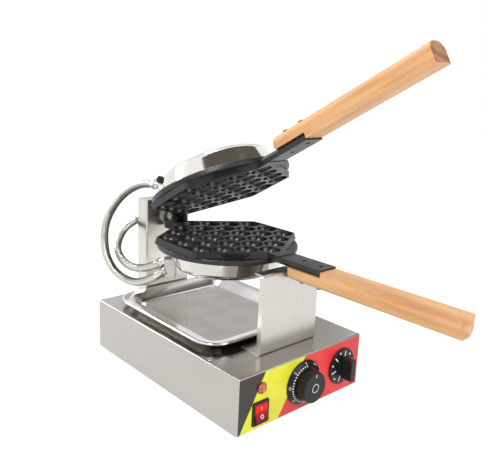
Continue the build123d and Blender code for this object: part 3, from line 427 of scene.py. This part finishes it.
def brushed_steel(name, tone, roughness, stretches):
    """Stainless sheet with its grain: fine scratches and a slow change of tone along them.
    With two stretches, the second is for faces that look sideways."""
    finish = new_finish(name, linear(*tone), roughness, 1.0)
    grains = []
    for stretch in stretches:
        fine = pattern(finish, "Noise", 1.0, stretch, Detail=4.0, Roughness=0.7)
        grains.append(fine.outputs["Fac"])
    grain = grains[0]
    if len(grains) > 1:
        surface = add_node(finish, "NewGeometry", {})
        parts = add_node(finish, "SeparateXYZ", {"Vector": surface.outputs["Normal"]})
        sideways = combine(finish, "ABSOLUTE", parts.outputs["X"])
        sharp = combine(finish, "GREATER_THAN", sideways, 0.7)
        both = add_node(
            finish, "Mix", {"Factor": sharp, "A": grains[0], "B": grains[1]}
        )
        grain = both.outputs["Result"]
    cloud = pattern(finish, "Noise", 7.0, Detail=2.0)
    light = tuple(min(part * 1.03, 255) for part in tone)
    dark = tuple(part * 0.97 for part in tone)
    tint(finish, grain, [(0.3, linear(*dark)), (0.7, linear(*light))])
    vary(finish, cloud.outputs["Fac"], "Roughness", roughness * 0.8, roughness * 1.25)
    relief(finish, grain, 0.000005)
    return finish


def dress(name, finish):
    """Puts one finish all over a piece of the machine"""
    slots = nodes[name].data.materials
    if not slots:
        slots.append(finish)
    for index in range(len(slots)):
        slots[index] = finish


base_steel = brushed_steel(
    "base_steel", (182, 178, 173), 0.22, [(7, 1500, 1500), (1500, 7, 1500)]
)
dress("base_housing", base_steel)
dress("bottom_plate", brushed_steel("plate_steel", (176, 174, 170), 0.42, [(9, 900, 900)]))


# Feet: four short round feet of moulded black rubber, matt and slightly dusty.
# They stand under the corners of the base.
rubber = new_finish("foot_rubber", linear(38, 37, 37), 0.8)
rubber_dust = pattern(rubber, "Noise", 260.0, Detail=5.0)
tint(rubber, rubber_dust.outputs["Fac"], [(0.35, linear(28, 27, 27)), (0.75, linear(58, 56, 55))])
relief(rubber, rubber_dust.outputs["Fac"], 0.0001)
dress("feet", rubber)


# Control panel: a printed film on the front of the base, in three colour fields.
# It has a fine orange-peel surface.
def printed_film(name, tone):
    film = new_finish(name, linear(*tone), 0.34)
    peel = pattern(film, "Noise", 900.0, Detail=2.0)
    wash = pattern(film, "Noise", 14.0, Detail=3.0)
    lighter = tuple(min(part * 1.05 + 3, 255) for part in tone)
    darker = tuple(part * 0.95 for part in tone)
    tint(film, wash.outputs["Fac"], [(0.35, linear(*darker)), (0.65, linear(*lighter))])
    relief(film, peel.outputs["Fac"], 0.00004)
    return film


dress("panel_dark", printed_film("film_dark", (44, 38, 39)))
dress("panel_yellow", printed_film("film_yellow", (236, 233, 54)))
dress("panel_red", printed_film("film_red", (224, 46, 46)))


# Pilot lamp: a cut amber lens in a thin black collar.
# Both are moulded, and the lens goes through the panel on a stem.
def moulded(name, tone, roughness, grit=700.0, depth=0.00004):
    """Moulded plastic with the fine texture of its mould"""
    plastic = new_finish(name, linear(*tone), roughness)
    shader_socket(plastic, "Specular IOR Level").default_value = 0.3
    texture = pattern(plastic, "Noise", grit, Detail=3.0)
    lighter = tuple(min(part * 1.12 + 4, 255) for part in tone)
    tint(plastic, texture.outputs["Fac"], [(0.3, linear(*tone)), (0.75, linear(*lighter))])
    vary(plastic, texture.outputs["Fac"], "Roughness", roughness * 0.85, roughness * 1.2)
    relief(plastic, texture.outputs["Fac"], depth)
    return plastic


black_plastic = moulded("black_plastic", (26, 25, 26), 0.4)
dress("lamp_bezel", black_plastic)
amber = new_finish("lamp_amber", linear(178, 86, 34), 0.1)
amber_cloud = pattern(amber, "Voronoi", 330.0)
tint(
    amber,
    amber_cloud.outputs["Distance"],
    [(0.1, linear(112, 40, 16)), (0.4, linear(168, 70, 26)), (0.8, linear(216, 122, 60))],
)
shader_socket(amber, "Coat Weight").default_value = 1.0
shader_socket(amber, "Coat Roughness").default_value = 0.04
dress("lamp_lens", amber)


# Rocker switch: a moulded black frame in the panel, round a red rocker on a pin.
# A bar is printed on the rocker's upper half and a ring on its lower.
dress("switch_frame", black_plastic)
rocker_low, rocker_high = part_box("switch_rocker")
rocker_red = new_finish("rocker_red", linear(190, 8, 24), 0.3)
shader_socket(rocker_red, "Specular IOR Level").default_value = 0.25
rocker_place = add_node(rocker_red, "TexCoord", {})
rocker_parts = add_node(
    rocker_red, "SeparateXYZ", {"Vector": rocker_place.outputs["Object"]}
)
# The rocker's red is painted lighter towards its top and darker towards its bottom, as painted
# light and shade.
rocker_painted_light = add_node(
    rocker_red,
    "MapRange",
    {
        "Value": rocker_parts.outputs["Z"],
        "From Min": rocker_low.z,
        "From Max": rocker_high.z,
    },
)
rocker_cloud = pattern(rocker_red, "Noise", 420.0, Detail=2.0)
tint(
    rocker_red,
    combine(
        rocker_red,
        "ADD",
        rocker_painted_light.outputs["Result"],
        combine(rocker_red, "MULTIPLY", rocker_cloud.outputs["Fac"], 0.12),
    ),
    [(0.2, linear(124, 10, 38)), (0.5, linear(158, 4, 28)), (0.7, linear(236, 0, 18))],
)
relief(rocker_red, rocker_cloud.outputs["Fac"], 0.00001)
dress("switch_rocker", rocker_red)

white_print = new_finish("white_print", linear(236, 236, 234), 0.5)
print_wear = pattern(white_print, "Noise", 1500.0, Detail=4.0)
tint(
    white_print,
    print_wear.outputs["Fac"],
    [(0.3, linear(214, 213, 210)), (0.6, linear(244, 244, 242))],
)
print_rise = 0.00012


def printed_bar(mesh, width, length, seat):
    """A printed stroke, seated by a matrix with local z off the face"""
    made = bmesh.ops.create_grid(mesh, x_segments=1, y_segments=1, size=0.5)["verts"]
    bmesh.ops.scale(mesh, vec=(width, length, 1), verts=made)
    faces = list({face for vertex in made for face in vertex.link_faces})
    lifted = bmesh.ops.extrude_face_region(mesh, geom=faces)["geom"]
    top = [item for item in lifted if isinstance(item, bmesh.types.BMVert)]
    bmesh.ops.translate(mesh, vec=(0, 0, print_rise), verts=top)
    bmesh.ops.transform(mesh, matrix=seat, verts=made + top)


def printed_ring(mesh, outer, inner, seat, corners=32):
    """A printed ring, or a dot where the inner radius is zero"""
    before = set(mesh.verts)
    first = bmesh.ops.create_circle(mesh, cap_ends=inner == 0, segments=corners, radius=outer)
    if inner:
        second = bmesh.ops.create_circle(mesh, cap_ends=False, segments=corners, radius=inner)
        rims = {
            edge
            for made in (first, second)
            for vertex in made["verts"]
            for edge in vertex.link_edges
        }
        bmesh.ops.bridge_loops(mesh, edges=list(rims))
    fresh = [vertex for vertex in mesh.verts if vertex not in before]
    faces = list({face for vertex in fresh for face in vertex.link_faces})
    lifted = bmesh.ops.extrude_face_region(mesh, geom=faces)["geom"]
    top = [item for item in lifted if isinstance(item, bmesh.types.BMVert)]
    bmesh.ops.translate(mesh, vec=(0, 0, print_rise), verts=top)
    bmesh.ops.transform(mesh, matrix=seat, verts=fresh + top)


def rocker_seat(upper):
    """Middle of one half of the rocker's face, with local z off the face"""
    mesh = nodes["switch_rocker"].data
    low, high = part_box("switch_rocker")
    middle_z = (low.z + high.z) / 2
    centre, normal, area = Vector(), Vector(), 0.0
    for face in mesh.polygons:
        if face.normal.y < -0.8 and (face.center.z > middle_z) == upper:
            centre += face.center * face.area
            normal += face.normal * face.area
            area += face.area
    across = Vector((1, 0, 0))
    normal.normalize()
    upward = normal.cross(across)
    turn = Matrix((across, upward, normal)).transposed().to_4x4()
    return Matrix.Translation(centre / area) @ turn


rocker_bar = (0.0011, 0.0044)
rocker_ring = (0.0029, 0.0019)
rocker_marks = bmesh.new()
printed_bar(rocker_marks, *rocker_bar, rocker_seat(True))
printed_ring(rocker_marks, *rocker_ring, rocker_seat(False))
rocker_print = into_scene(rocker_marks, "rocker_marks", white_print)
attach(rocker_print, "rocker")


# Timer: clockwork behind the panel. Its knob is a moulded dial with a sloping edge and a
# fluted grip, with a plated ring round a plain cap. The marks are printed on it.
def seat_on_dial(centre, angle, radius, slope=0.0):
    """Seat on a dial: local x runs round it, local y outwards and local z off its face"""
    outward = Vector((math.cos(angle), 0, math.sin(angle)))
    front = Vector((0, -1, 0))
    across = Vector((math.sin(angle), 0, -math.cos(angle)))
    along = outward * math.cos(slope) - front * math.sin(slope)
    normal = front * math.cos(slope) + outward * math.sin(slope)
    turn = Matrix((across, along, normal)).transposed().to_4x4()
    return Matrix.Translation(Vector(centre) + outward * radius) @ turn


def printed_number(mesh, words, size, seat):
    data = bpy.data.curves.new("number", "FONT")
    data.body = words
    data.size = size
    data.align_x = "CENTER"
    data.align_y = "CENTER"
    data.resolution_u = 3
    data.extrude = print_rise
    holder = bpy.data.objects.new("number", data)
    bpy.context.collection.objects.link(holder)
    flat = bpy.data.meshes.new_from_object(holder)
    flat.transform(seat)
    mesh.from_mesh(flat)
    bpy.data.objects.remove(holder)


def turned_plastic(name, tone, roughness, centre):
    """Black plastic with the fine turned rings of a knob's face"""
    plastic = moulded(name, tone, roughness, 500.0)
    rings = pattern(
        plastic,
        "Wave",
        190.0,
        centre=centre,
        wave_type="RINGS",
        rings_direction="Y",
        Distortion=0.4,
    )
    relief(plastic, rings.outputs["Fac"], 0.00002)
    return plastic


timer_low, timer_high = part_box("timer_dial")
timer_centre = (timer_low + timer_high) / 2
timer_radius = (timer_high.x - timer_low.x) / 2
timer_crown = 0.0245
timer_rise = 0.006
timer_slope = math.atan2(timer_rise, timer_radius - timer_crown)
knob_black = turned_plastic("timer_black", (25, 24, 25), 0.42, timer_centre)
dress("timer_dial", moulded("dial_black", (15, 14, 15), 0.4))
dress("timer_grip", knob_black)
dress("timer_cap", knob_black)


def slope_depth(radius):
    """How far the dial's sloping edge lies behind its front at a radius"""
    return timer_low.y + (radius - timer_crown) * math.tan(timer_slope)


timer_marks = bmesh.new()
timer_dots = 30
dot_start = 90
dot_step = 9
dots_to_number = 5
dot_radius = 0.00105
dot_corners = 12
dot_ring = 0.0266
number_ring = 0.0298
number_size = 0.0056
stop_angle = 52
stop_bar = (0.008, 0.0012)
pointer_angle = 88
pointer_ring = 0.0178
pointer_bar = (0.0014, 0.0042)
for dot in range(timer_dots + 1):
    dot_angle = math.radians(dot_start + dot_step * dot)
    dot_centre = (timer_centre.x, slope_depth(dot_ring), timer_centre.z)
    dot_seat = seat_on_dial(dot_centre, dot_angle, dot_ring, timer_slope)
    printed_ring(timer_marks, dot_radius, 0, dot_seat, dot_corners)
    if dot % dots_to_number == 0:
        number_centre = (timer_centre.x, slope_depth(number_ring), timer_centre.z)
        number_seat = seat_on_dial(number_centre, dot_angle, number_ring, timer_slope)
        printed_number(timer_marks, str(dot), number_size, number_seat)
stop_centre = (timer_centre.x, slope_depth(number_ring), timer_centre.z)
stop_seat = seat_on_dial(stop_centre, math.radians(stop_angle), number_ring, timer_slope)
printed_bar(timer_marks, *stop_bar, stop_seat)
pointer_centre = (timer_centre.x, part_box("timer_grip")[0].y, timer_centre.z)
pointer_seat = seat_on_dial(pointer_centre, math.radians(pointer_angle), pointer_ring)
printed_bar(timer_marks, *pointer_bar, pointer_seat)
timer_print = into_scene(timer_marks, "timer_marks", white_print)
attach(timer_print, "timer_knob")

plated = new_finish("plated_ring", linear(206, 206, 208), 0.22, 0.9)
plated_cloud = pattern(plated, "Noise", 400.0, Detail=3.0)
tint(
    plated,
    plated_cloud.outputs["Fac"],
    [(0.3, linear(186, 186, 190)), (0.7, linear(222, 222, 224))],
)
vary(plated, plated_cloud.outputs["Fac"], "Roughness", 0.16, 0.3)
dress("timer_ring", plated)


# Thermostat: a capillary body behind the panel. Its knob is a flat moulded dial with an
# upright grooved grip, and bars and dots are printed round the dial by turns.
thermostat_low, thermostat_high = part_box("thermostat_dial")
thermostat_centre = (thermostat_low + thermostat_high) / 2
dress("thermostat_dial", moulded("thermostat_black", (22, 21, 22), 0.4))
dress("thermostat_grip", black_plastic)
thermostat_marks = bmesh.new()
mark_count = 12
mark_start = 75
mark_step = 30
bar_ring = 0.0195
bar_size = (0.0021, 0.009)
spot_ring = 0.0228
spot_radius = 0.0017
spot_corners = 16
for mark in range(mark_count):
    mark_angle = math.radians(mark_start + mark_step * mark)
    mark_centre = (thermostat_centre.x, thermostat_low.y, thermostat_centre.z)
    if mark % 2 == 0:
        bar_seat = seat_on_dial(mark_centre, mark_angle, bar_ring)
        printed_bar(thermostat_marks, *bar_size, bar_seat)
    else:
        spot_seat = seat_on_dial(mark_centre, mark_angle, spot_ring)
        printed_ring(thermostat_marks, spot_radius, 0, spot_seat, spot_corners)
thermostat_print = into_scene(thermostat_marks, "thermostat_marks", white_print)
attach(thermostat_print, "thermostat_knob")


# Inside the base: the timer's and the thermostat's bodies, of yellow passivated metal, and a
# ceramic terminal block. A moulded gland sits in the rear wall. The shafts, the washer and
# the hinge pin are turned steel.
def plated_metal(name, tone, roughness, scale=220.0):
    """Plated or cast metal with a faintly uneven tone"""
    metal = new_finish(name, linear(*tone), roughness, 1.0)
    cloud = pattern(metal, "Noise", scale, Detail=4.0)
    lighter = tuple(min(part * 1.1, 255) for part in tone)
    darker = tuple(part * 0.85 for part in tone)
    tint(metal, cloud.outputs["Fac"], [(0.3, linear(*darker)), (0.7, linear(*lighter))])
    vary(metal, cloud.outputs["Fac"], "Roughness", roughness * 0.75, roughness * 1.3)
    relief(metal, cloud.outputs["Fac"], 0.00004)
    return metal


passivated = plated_metal("passivated_zinc", (196, 184, 140), 0.34)
dress("timer_movement", passivated)
dress("thermostat_body", passivated)
ceramic = moulded("ceramic_white", (222, 218, 206), 0.5, 180.0)
dress("terminal_block", ceramic)
dress("cord_gland", black_plastic)
turned_steel = plated_metal("turned_steel", (176, 175, 173), 0.26)
for shaft in ("timer_shaft", "thermostat_shaft", "pivot_shaft", "thrust_washer", "hinge_pin"):
    dress(shaft, turned_steel)


# Front bracket and rear column: folded stainless sheet with an upright grain.
# A cover closes the column, which carries the cast bearing of the pivot and the conduit's elbow.
upright_steel = brushed_steel("upright_steel", (207, 203, 197), 0.3, [(1500, 1500, 6)])
dress("front_bracket", upright_steel)
column_steel = brushed_steel("column_steel", (210, 206, 199), 0.28, [(1500, 1500, 6)])
dress("rear_column", column_steel)
dress("column_cover", column_steel)
cast_zinc = plated_metal("cast_zinc", (196, 194, 190), 0.42, 500.0)
dress("pivot_bearing", cast_zinc)
dress("conduit_elbow", cast_zinc)
dress("pivot_nut", plated_metal("zinc_nut", (190, 188, 182), 0.3))


# Screws: plated, with a low domed head and a cross recess. The column's cover has four,
# each dome six and each handle two.
screw_finish = plated_metal("screw_plate", (198, 196, 190), 0.26, 900.0)
screw_sides = 32


def edges_among(items, ring):
    """The edges in a result whose two ends are both in a ring of vertices"""
    return [
        item
        for item in items
        if isinstance(item, bmesh.types.BMEdge) and all(v in ring for v in item.verts)
    ]


def cross_head(mesh, seat, radius, height):
    """A screw head with a domed edge, a flat top and a cross recess, local z off the face"""
    before = set(mesh.verts)
    made = bmesh.ops.create_circle(mesh, cap_ends=True, segments=screw_sides, radius=radius)
    rim = list({edge for vertex in made["verts"] for edge in vertex.link_edges})
    steps = 5
    for step in range(1, steps + 1):
        lean = math.pi / 2 * step / steps
        level = height * (0.4 + 0.6 * math.sin(lean)) if step > 1 else height * 0.4
        reach = 1.0 if step == 1 else 0.72 + 0.28 * math.cos(lean)
        lifted = bmesh.ops.extrude_edge_only(mesh, edges=rim)["geom"]
        ring = [item for item in lifted if isinstance(item, bmesh.types.BMVert)]
        rim = edges_among(lifted, ring)
        for vertex in ring:
            flat = Vector((vertex.co.x, vertex.co.y, 0)).normalized() * radius * reach
            vertex.co = Vector((flat.x, flat.y, level))
    arm, half = radius * 0.5, radius * 0.13
    corners = []
    for quarter in range(4):
        turn = Matrix.Rotation(math.pi / 2 * quarter, 3, "Z")
        for x, y in ((half, half), (arm, half), (arm, -half)):
            corners.append(mesh.verts.new(turn @ Vector((x, y, height))))
    corners = sorted(corners, key=lambda vertex: math.atan2(vertex.co.y, vertex.co.x))
    slot_edges = [mesh.edges.new((a, b)) for a, b in zip(corners, corners[1:] + corners[:1])]
    bmesh.ops.triangle_fill(mesh, use_beauty=True, edges=rim + slot_edges)
    sunk = bmesh.ops.extrude_edge_only(mesh, edges=slot_edges)["geom"]
    floor_ring = [item for item in sunk if isinstance(item, bmesh.types.BMVert)]
    floor_edges = edges_among(sunk, floor_ring)
    for vertex in floor_ring:
        vertex.co = Vector((vertex.co.x * 0.7, vertex.co.y * 0.7, height * 0.35))
    bmesh.ops.contextual_create(mesh, geom=floor_edges)
    fresh = [vertex for vertex in mesh.verts if vertex not in before]
    bmesh.ops.transform(mesh, matrix=seat, verts=fresh)


def solids_of(name):
    """Points of each separate solid of a piece"""
    mesh = bmesh.new()
    mesh.from_mesh(nodes[name].data)
    bmesh.ops.remove_doubles(mesh, verts=mesh.verts, dist=1e-6)
    left = set(mesh.verts)
    found = []
    while left:
        group, edge_of_group = set(), [left.pop()]
        while edge_of_group:
            vertex = edge_of_group.pop()
            group.add(vertex)
            for edge in vertex.link_edges:
                other = edge.other_vert(vertex)
                if other in left:
                    left.discard(other)
                    edge_of_group.append(other)
        found.append([vertex.co.copy() for vertex in group])
    mesh.free()
    return found


def seat_facing(place, normal):
    turn = Vector(normal).to_track_quat("Z", "Y").to_matrix().to_4x4()
    return Matrix.Translation(place) @ turn


def screws(name, node, body, normal, radius, height, lift=0.0, finish=screw_finish):
    """Cross-head screws in the places of a piece's plain ones"""
    mesh = bmesh.new()
    for points in solids_of(node):
        reach = [Vector(normal).dot(point) for point in points]
        crown = [point for point, value in zip(points, reach) if value > max(reach) - 1e-5]
        top = sum(crown, Vector()) / len(crown)
        seat = seat_facing(top - Vector(normal) * (height - lift), normal)
        cross_head(mesh, seat, radius, height)
    piece = into_scene(mesh, name, finish)
    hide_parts(node)
    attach(piece, body)


lid_angle = math.radians(28.8)
lid_out = Vector((0, math.sin(lid_angle), math.cos(lid_angle)))
down = Vector((0, 0, -1))
column_head = (0.0036, 0.002)
dome_head = (0.0022, 0.0015)
screws("column_screw_heads", "column_screws", "base", (0, 1, 0), *column_head)
screws("lower_dome_screw_heads", "lower_dome_screws", "lower_pan", down, *dome_head)
screws("upper_dome_screw_heads", "upper_dome_screws", "lid", lid_out, *dome_head)
dark_screw = plated_metal("dark_screw_plate", (104, 98, 92), 0.34, 900.0)
handle_heads = (0.0048, 0.0038, 0.0012, dark_screw)
screws("lower_handle_screw_heads", "lower_handle_screws", "lower_pan", down, *handle_heads)
screws("upper_handle_screw_heads", "upper_handle_screws", "lid", lid_out, *handle_heads)


# Drip tray and domes: polished stainless sheet. The tray is deep-drawn and lies loose on
# the base, and the domes are spun, with faint lines, and screwed to the plates.
def polished_steel(name, tone, roughness, spun=False, turn=(0, 0, 0)):
    steel = new_finish(name, linear(*tone), roughness, 1.0)
    wave = pattern(steel, "Noise", 24.0, Detail=3.0)
    lighter = tuple(min(part * 1.03, 255) for part in tone)
    darker = tuple(part * 0.97 for part in tone)
    tint(steel, wave.outputs["Fac"], [(0.3, linear(*darker)), (0.7, linear(*lighter))])
    vary(steel, wave.outputs["Fac"], "Roughness", roughness * 0.7, roughness * 1.4)
    if spun:
        lines = pattern(
            steel,
            "Wave",
            120.0,
            turn=turn,
            wave_type="BANDS",
            bands_direction="Z",
            Distortion=0.6,
            Detail_Scale=3.0,
        )
        relief(steel, lines.outputs["Fac"], 0.00001)
    return steel


tray_low, tray_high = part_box("drip_tray")
tray_corner = 0.038
tightest_corner = 0.012
tray_sheet = 0.001
tray_profile = [
    (0.0, 0.004),
    (0.0, 0.0012),
    (0.0003, 0.0005),
    (0.0008, 0.0001),
    (0.0015, 0.0),
    (0.0035, 0.0),
    (0.0045, 0.0002),
    (0.0105, 0.0008),
    (0.0120, 0.0011),
    (0.0135, 0.0017),
    (0.0275, 0.0105),
    (0.0290, 0.0113),
    (0.0305, 0.0117),
    (0.0320, 0.0118),
    (0.0335, 0.0118),
]


def rounded_loop(mesh, inset, level):
    """A closed loop of edges: the tray's outline drawn in by an inset"""
    corner_steps = 14
    radius = max(tray_corner - inset, tightest_corner)
    reach_x = tray_high.x - inset - radius
    reach_y = (tray_high.y - tray_low.y) / 2 - inset - radius
    middle_y = (tray_high.y + tray_low.y) / 2
    ring = []
    for quarter, (side_x, side_y) in enumerate(((1, 1), (-1, 1), (-1, -1), (1, -1))):
        for step in range(corner_steps + 1):
            angle = math.pi / 2 * (quarter + step / corner_steps)
            x = side_x * reach_x + radius * math.cos(angle)
            y = middle_y + side_y * reach_y + radius * math.sin(angle)
            ring.append(mesh.verts.new((x, y, level)))
    return [mesh.edges.new((a, b)) for a, b in zip(ring, ring[1:] + ring[:1])]


tray = bmesh.new()
tray_rings = [rounded_loop(tray, inset, tray_high.z - drop) for inset, drop in tray_profile]
for ring, following in zip(tray_rings, tray_rings[1:]):
    bmesh.ops.bridge_loops(tray, edges=ring + following)
bmesh.ops.contextual_create(tray, geom=tray_rings[-1])
for face in tray.faces:
    face.smooth = True
bmesh.ops.recalc_face_normals(tray, faces=tray.faces)
bmesh.ops.solidify(tray, geom=tray.faces[:], thickness=tray_sheet)
tray_shown = into_scene(tray, "drawn_tray", polished_steel("tray_steel", (232, 231, 230), 0.13))
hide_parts("drip_tray")
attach(tray_shown, "tray")
dome_steel = polished_steel("dome_steel", (208, 204, 199), 0.1, spun=True)
# The lid's dome is the same spun steel as the lower dome, painted lighter, as painted light.
lid_dome_painted_light = polished_steel(
    "lid_dome_painted_light", (238, 236, 232), 0.1, spun=True, turn=(-lid_angle, 0, 0)
)
dress("lower_dome", dome_steel)
dress("upper_dome", lid_dome_painted_light)


# Mould plates: cast iron with a dark non-stick coat, fine-grained from the sand.
# Their cells are painted blacker, as painted shade in the hollows, and are glossier than the
# ridges and the rim, which wear.
cell_field_radius = 0.1


def coated_iron(name, seat, turn):
    """Depth is measured from the plate's moulding face, whose middle is the seat"""
    iron = new_finish(name, linear(22, 21, 21), 0.3)
    sand = pattern(iron, "Noise", 620.0, Detail=6.0, Roughness=0.7)
    patches = pattern(iron, "Noise", 30.0, Detail=3.0)
    local = own_place(iron, turn=turn, centre=seat)
    parts = add_node(iron, "SeparateXYZ", {"Vector": local.outputs["Vector"]})
    depth = combine(iron, "ABSOLUTE", parts.outputs["Z"])
    sunk = add_node(
        iron, "MapRange", {"Value": depth, "From Min": 0.0004, "From Max": 0.005}
    )
    level = add_node(iron, "CombineXYZ", {"X": parts.outputs["X"], "Y": parts.outputs["Y"]})
    reach = add_node(iron, "VectorMath", {0: level.outputs["Vector"]}, operation="LENGTH")
    inside = combine(iron, "LESS_THAN", reach.outputs["Value"], cell_field_radius)
    cell = combine(iron, "MULTIPLY", sunk.outputs["Result"], inside)
    # The sand grain gives the ridges their wear; deeper in the cells the coat is painted darker,
    # as painted shade.
    wear_and_painted_shade = combine(iron, "SUBTRACT", sand.outputs["Fac"], combine(iron, "MULTIPLY", cell, 0.5))
    tint(
        iron,
        wear_and_painted_shade,
        [
            (0.0, linear(6, 5, 5)),
            (0.3, linear(17, 16, 16)),
            (0.6, linear(32, 30, 30)),
            (0.85, linear(62, 59, 59)),
        ],
    )
    cell_gloss = combine(iron, "MULTIPLY", cell, 0.6)
    patchy = combine(iron, "SUBTRACT", patches.outputs["Fac"], cell_gloss)
    vary(iron, patchy, "Roughness", 0.24, 0.5)
    relief(iron, sand.outputs["Fac"], 0.0002)
    relief(iron, patches.outputs["Fac"], 0.0003)
    return iron


parting_seat = (0, -0.003, 0.225)
hinge_place = Vector((0, 0.13, 0.232))
lid_turn = Matrix.Rotation(-lid_angle, 3, "X")
lid_seat = hinge_place + lid_turn @ (Vector(parting_seat) - hinge_place)
dress("lower_mould_plate", coated_iron("lower_iron", parting_seat, (0, 0, 0)))
dress("upper_mould_plate", coated_iron("upper_iron", lid_seat, (-lid_angle, 0, 0)))


# Heating rings: a heating rod in a dull metal sheath, bent to a ring.
# One lies behind each mould plate, under its dome.
heater = plated_metal("heater_sheath", (120, 112, 104), 0.45, 60.0)
dress("lower_heating_ring", heater)
dress("upper_heating_ring", heater)


# Handles: shaped beech, oiled, with its rings, short dark flecks and fine fibres along the grain.
# Each is lapped against the neck of its plate and held by two screws.
def beech(name, turn, centre, end_tone):
    wood = new_finish(name, linear(222, 176, 128), 0.5)
    rings = pattern(
        wood,
        "Wave",
        26.0,
        turn=turn,
        centre=centre,
        wave_type="RINGS",
        rings_direction="Y",
        Distortion=1.2,
        Detail=3.0,
        Detail_Scale=0.6,
    )
    fibre = pattern(wood, "Noise", 1.0, (700, 14, 700), turn, Detail=4.0, Roughness=0.6)
    fleck = pattern(wood, "Noise", 1.0, (700, 110, 700), turn, Detail=1.0)
    broad = pattern(wood, "Noise", 1.0, (46, 7, 46), turn, Detail=3.0)
    grain = combine(wood, "MULTIPLY", rings.outputs["Fac"], 0.1)
    grain = combine(wood, "ADD", grain, combine(wood, "MULTIPLY", fibre.outputs["Fac"], 0.3))
    grain = combine(wood, "ADD", grain, combine(wood, "MULTIPLY", broad.outputs["Fac"], 0.6))
    speck = combine(wood, "GREATER_THAN", fleck.outputs["Fac"], 0.68)
    grain = combine(wood, "SUBTRACT", grain, combine(wood, "MULTIPLY", speck, 0.14))
    surface = add_node(wood, "NewGeometry", {})
    end_way = Matrix.Rotation(turn[0], 3, "X") @ Vector((0, -1, 0))
    lean = add_node(
        wood,
        "VectorMath",
        {0: surface.outputs["Normal"], 1: end_way},
        operation="DOT_PRODUCT",
    )
    end_grain = combine(wood, "GREATER_THAN", lean.outputs["Value"], 0.9)
    grain = combine(wood, "SUBTRACT", grain, combine(wood, "MULTIPLY", end_grain, end_tone))
    tint(
        wood,
        grain,
        [
            (0.0, linear(122, 74, 44)),
            (0.34, linear(204, 144, 92)),
            (0.5, linear(222, 168, 114)),
            (0.72, linear(236, 190, 140)),
        ],
    )
    vary(wood, fibre.outputs["Fac"], "Roughness", 0.42, 0.6)
    relief(wood, fibre.outputs["Fac"], 0.00008)
    return wood


dress("lower_handle", beech("lower_beech", (0, 0, 0), (-0.024, -0.2, 0.16), 0.08))
upper_pith = lid_seat + lid_turn @ Vector((0.02, -0.2, 0.07))
dress("upper_handle", beech("upper_beech", (-lid_angle, 0, 0), upper_pith, 0.4))


# Fittings of the conduits: die-cast boxes against the domes, with plated ferrules that the
# hoses end in. The lid's fitting has a black nut.
ferrule_plate = plated_metal("ferrule_plate", (206, 203, 197), 0.24, 300.0)
for fitting in ("lower_ferrules", "upper_ferrule"):
    dress(fitting, ferrule_plate)
dress("lower_junction_box", cast_zinc)
dress("upper_junction_box", plated_metal("box_plate", (222, 220, 215), 0.3, 300.0))
dress("upper_nut", black_plastic)
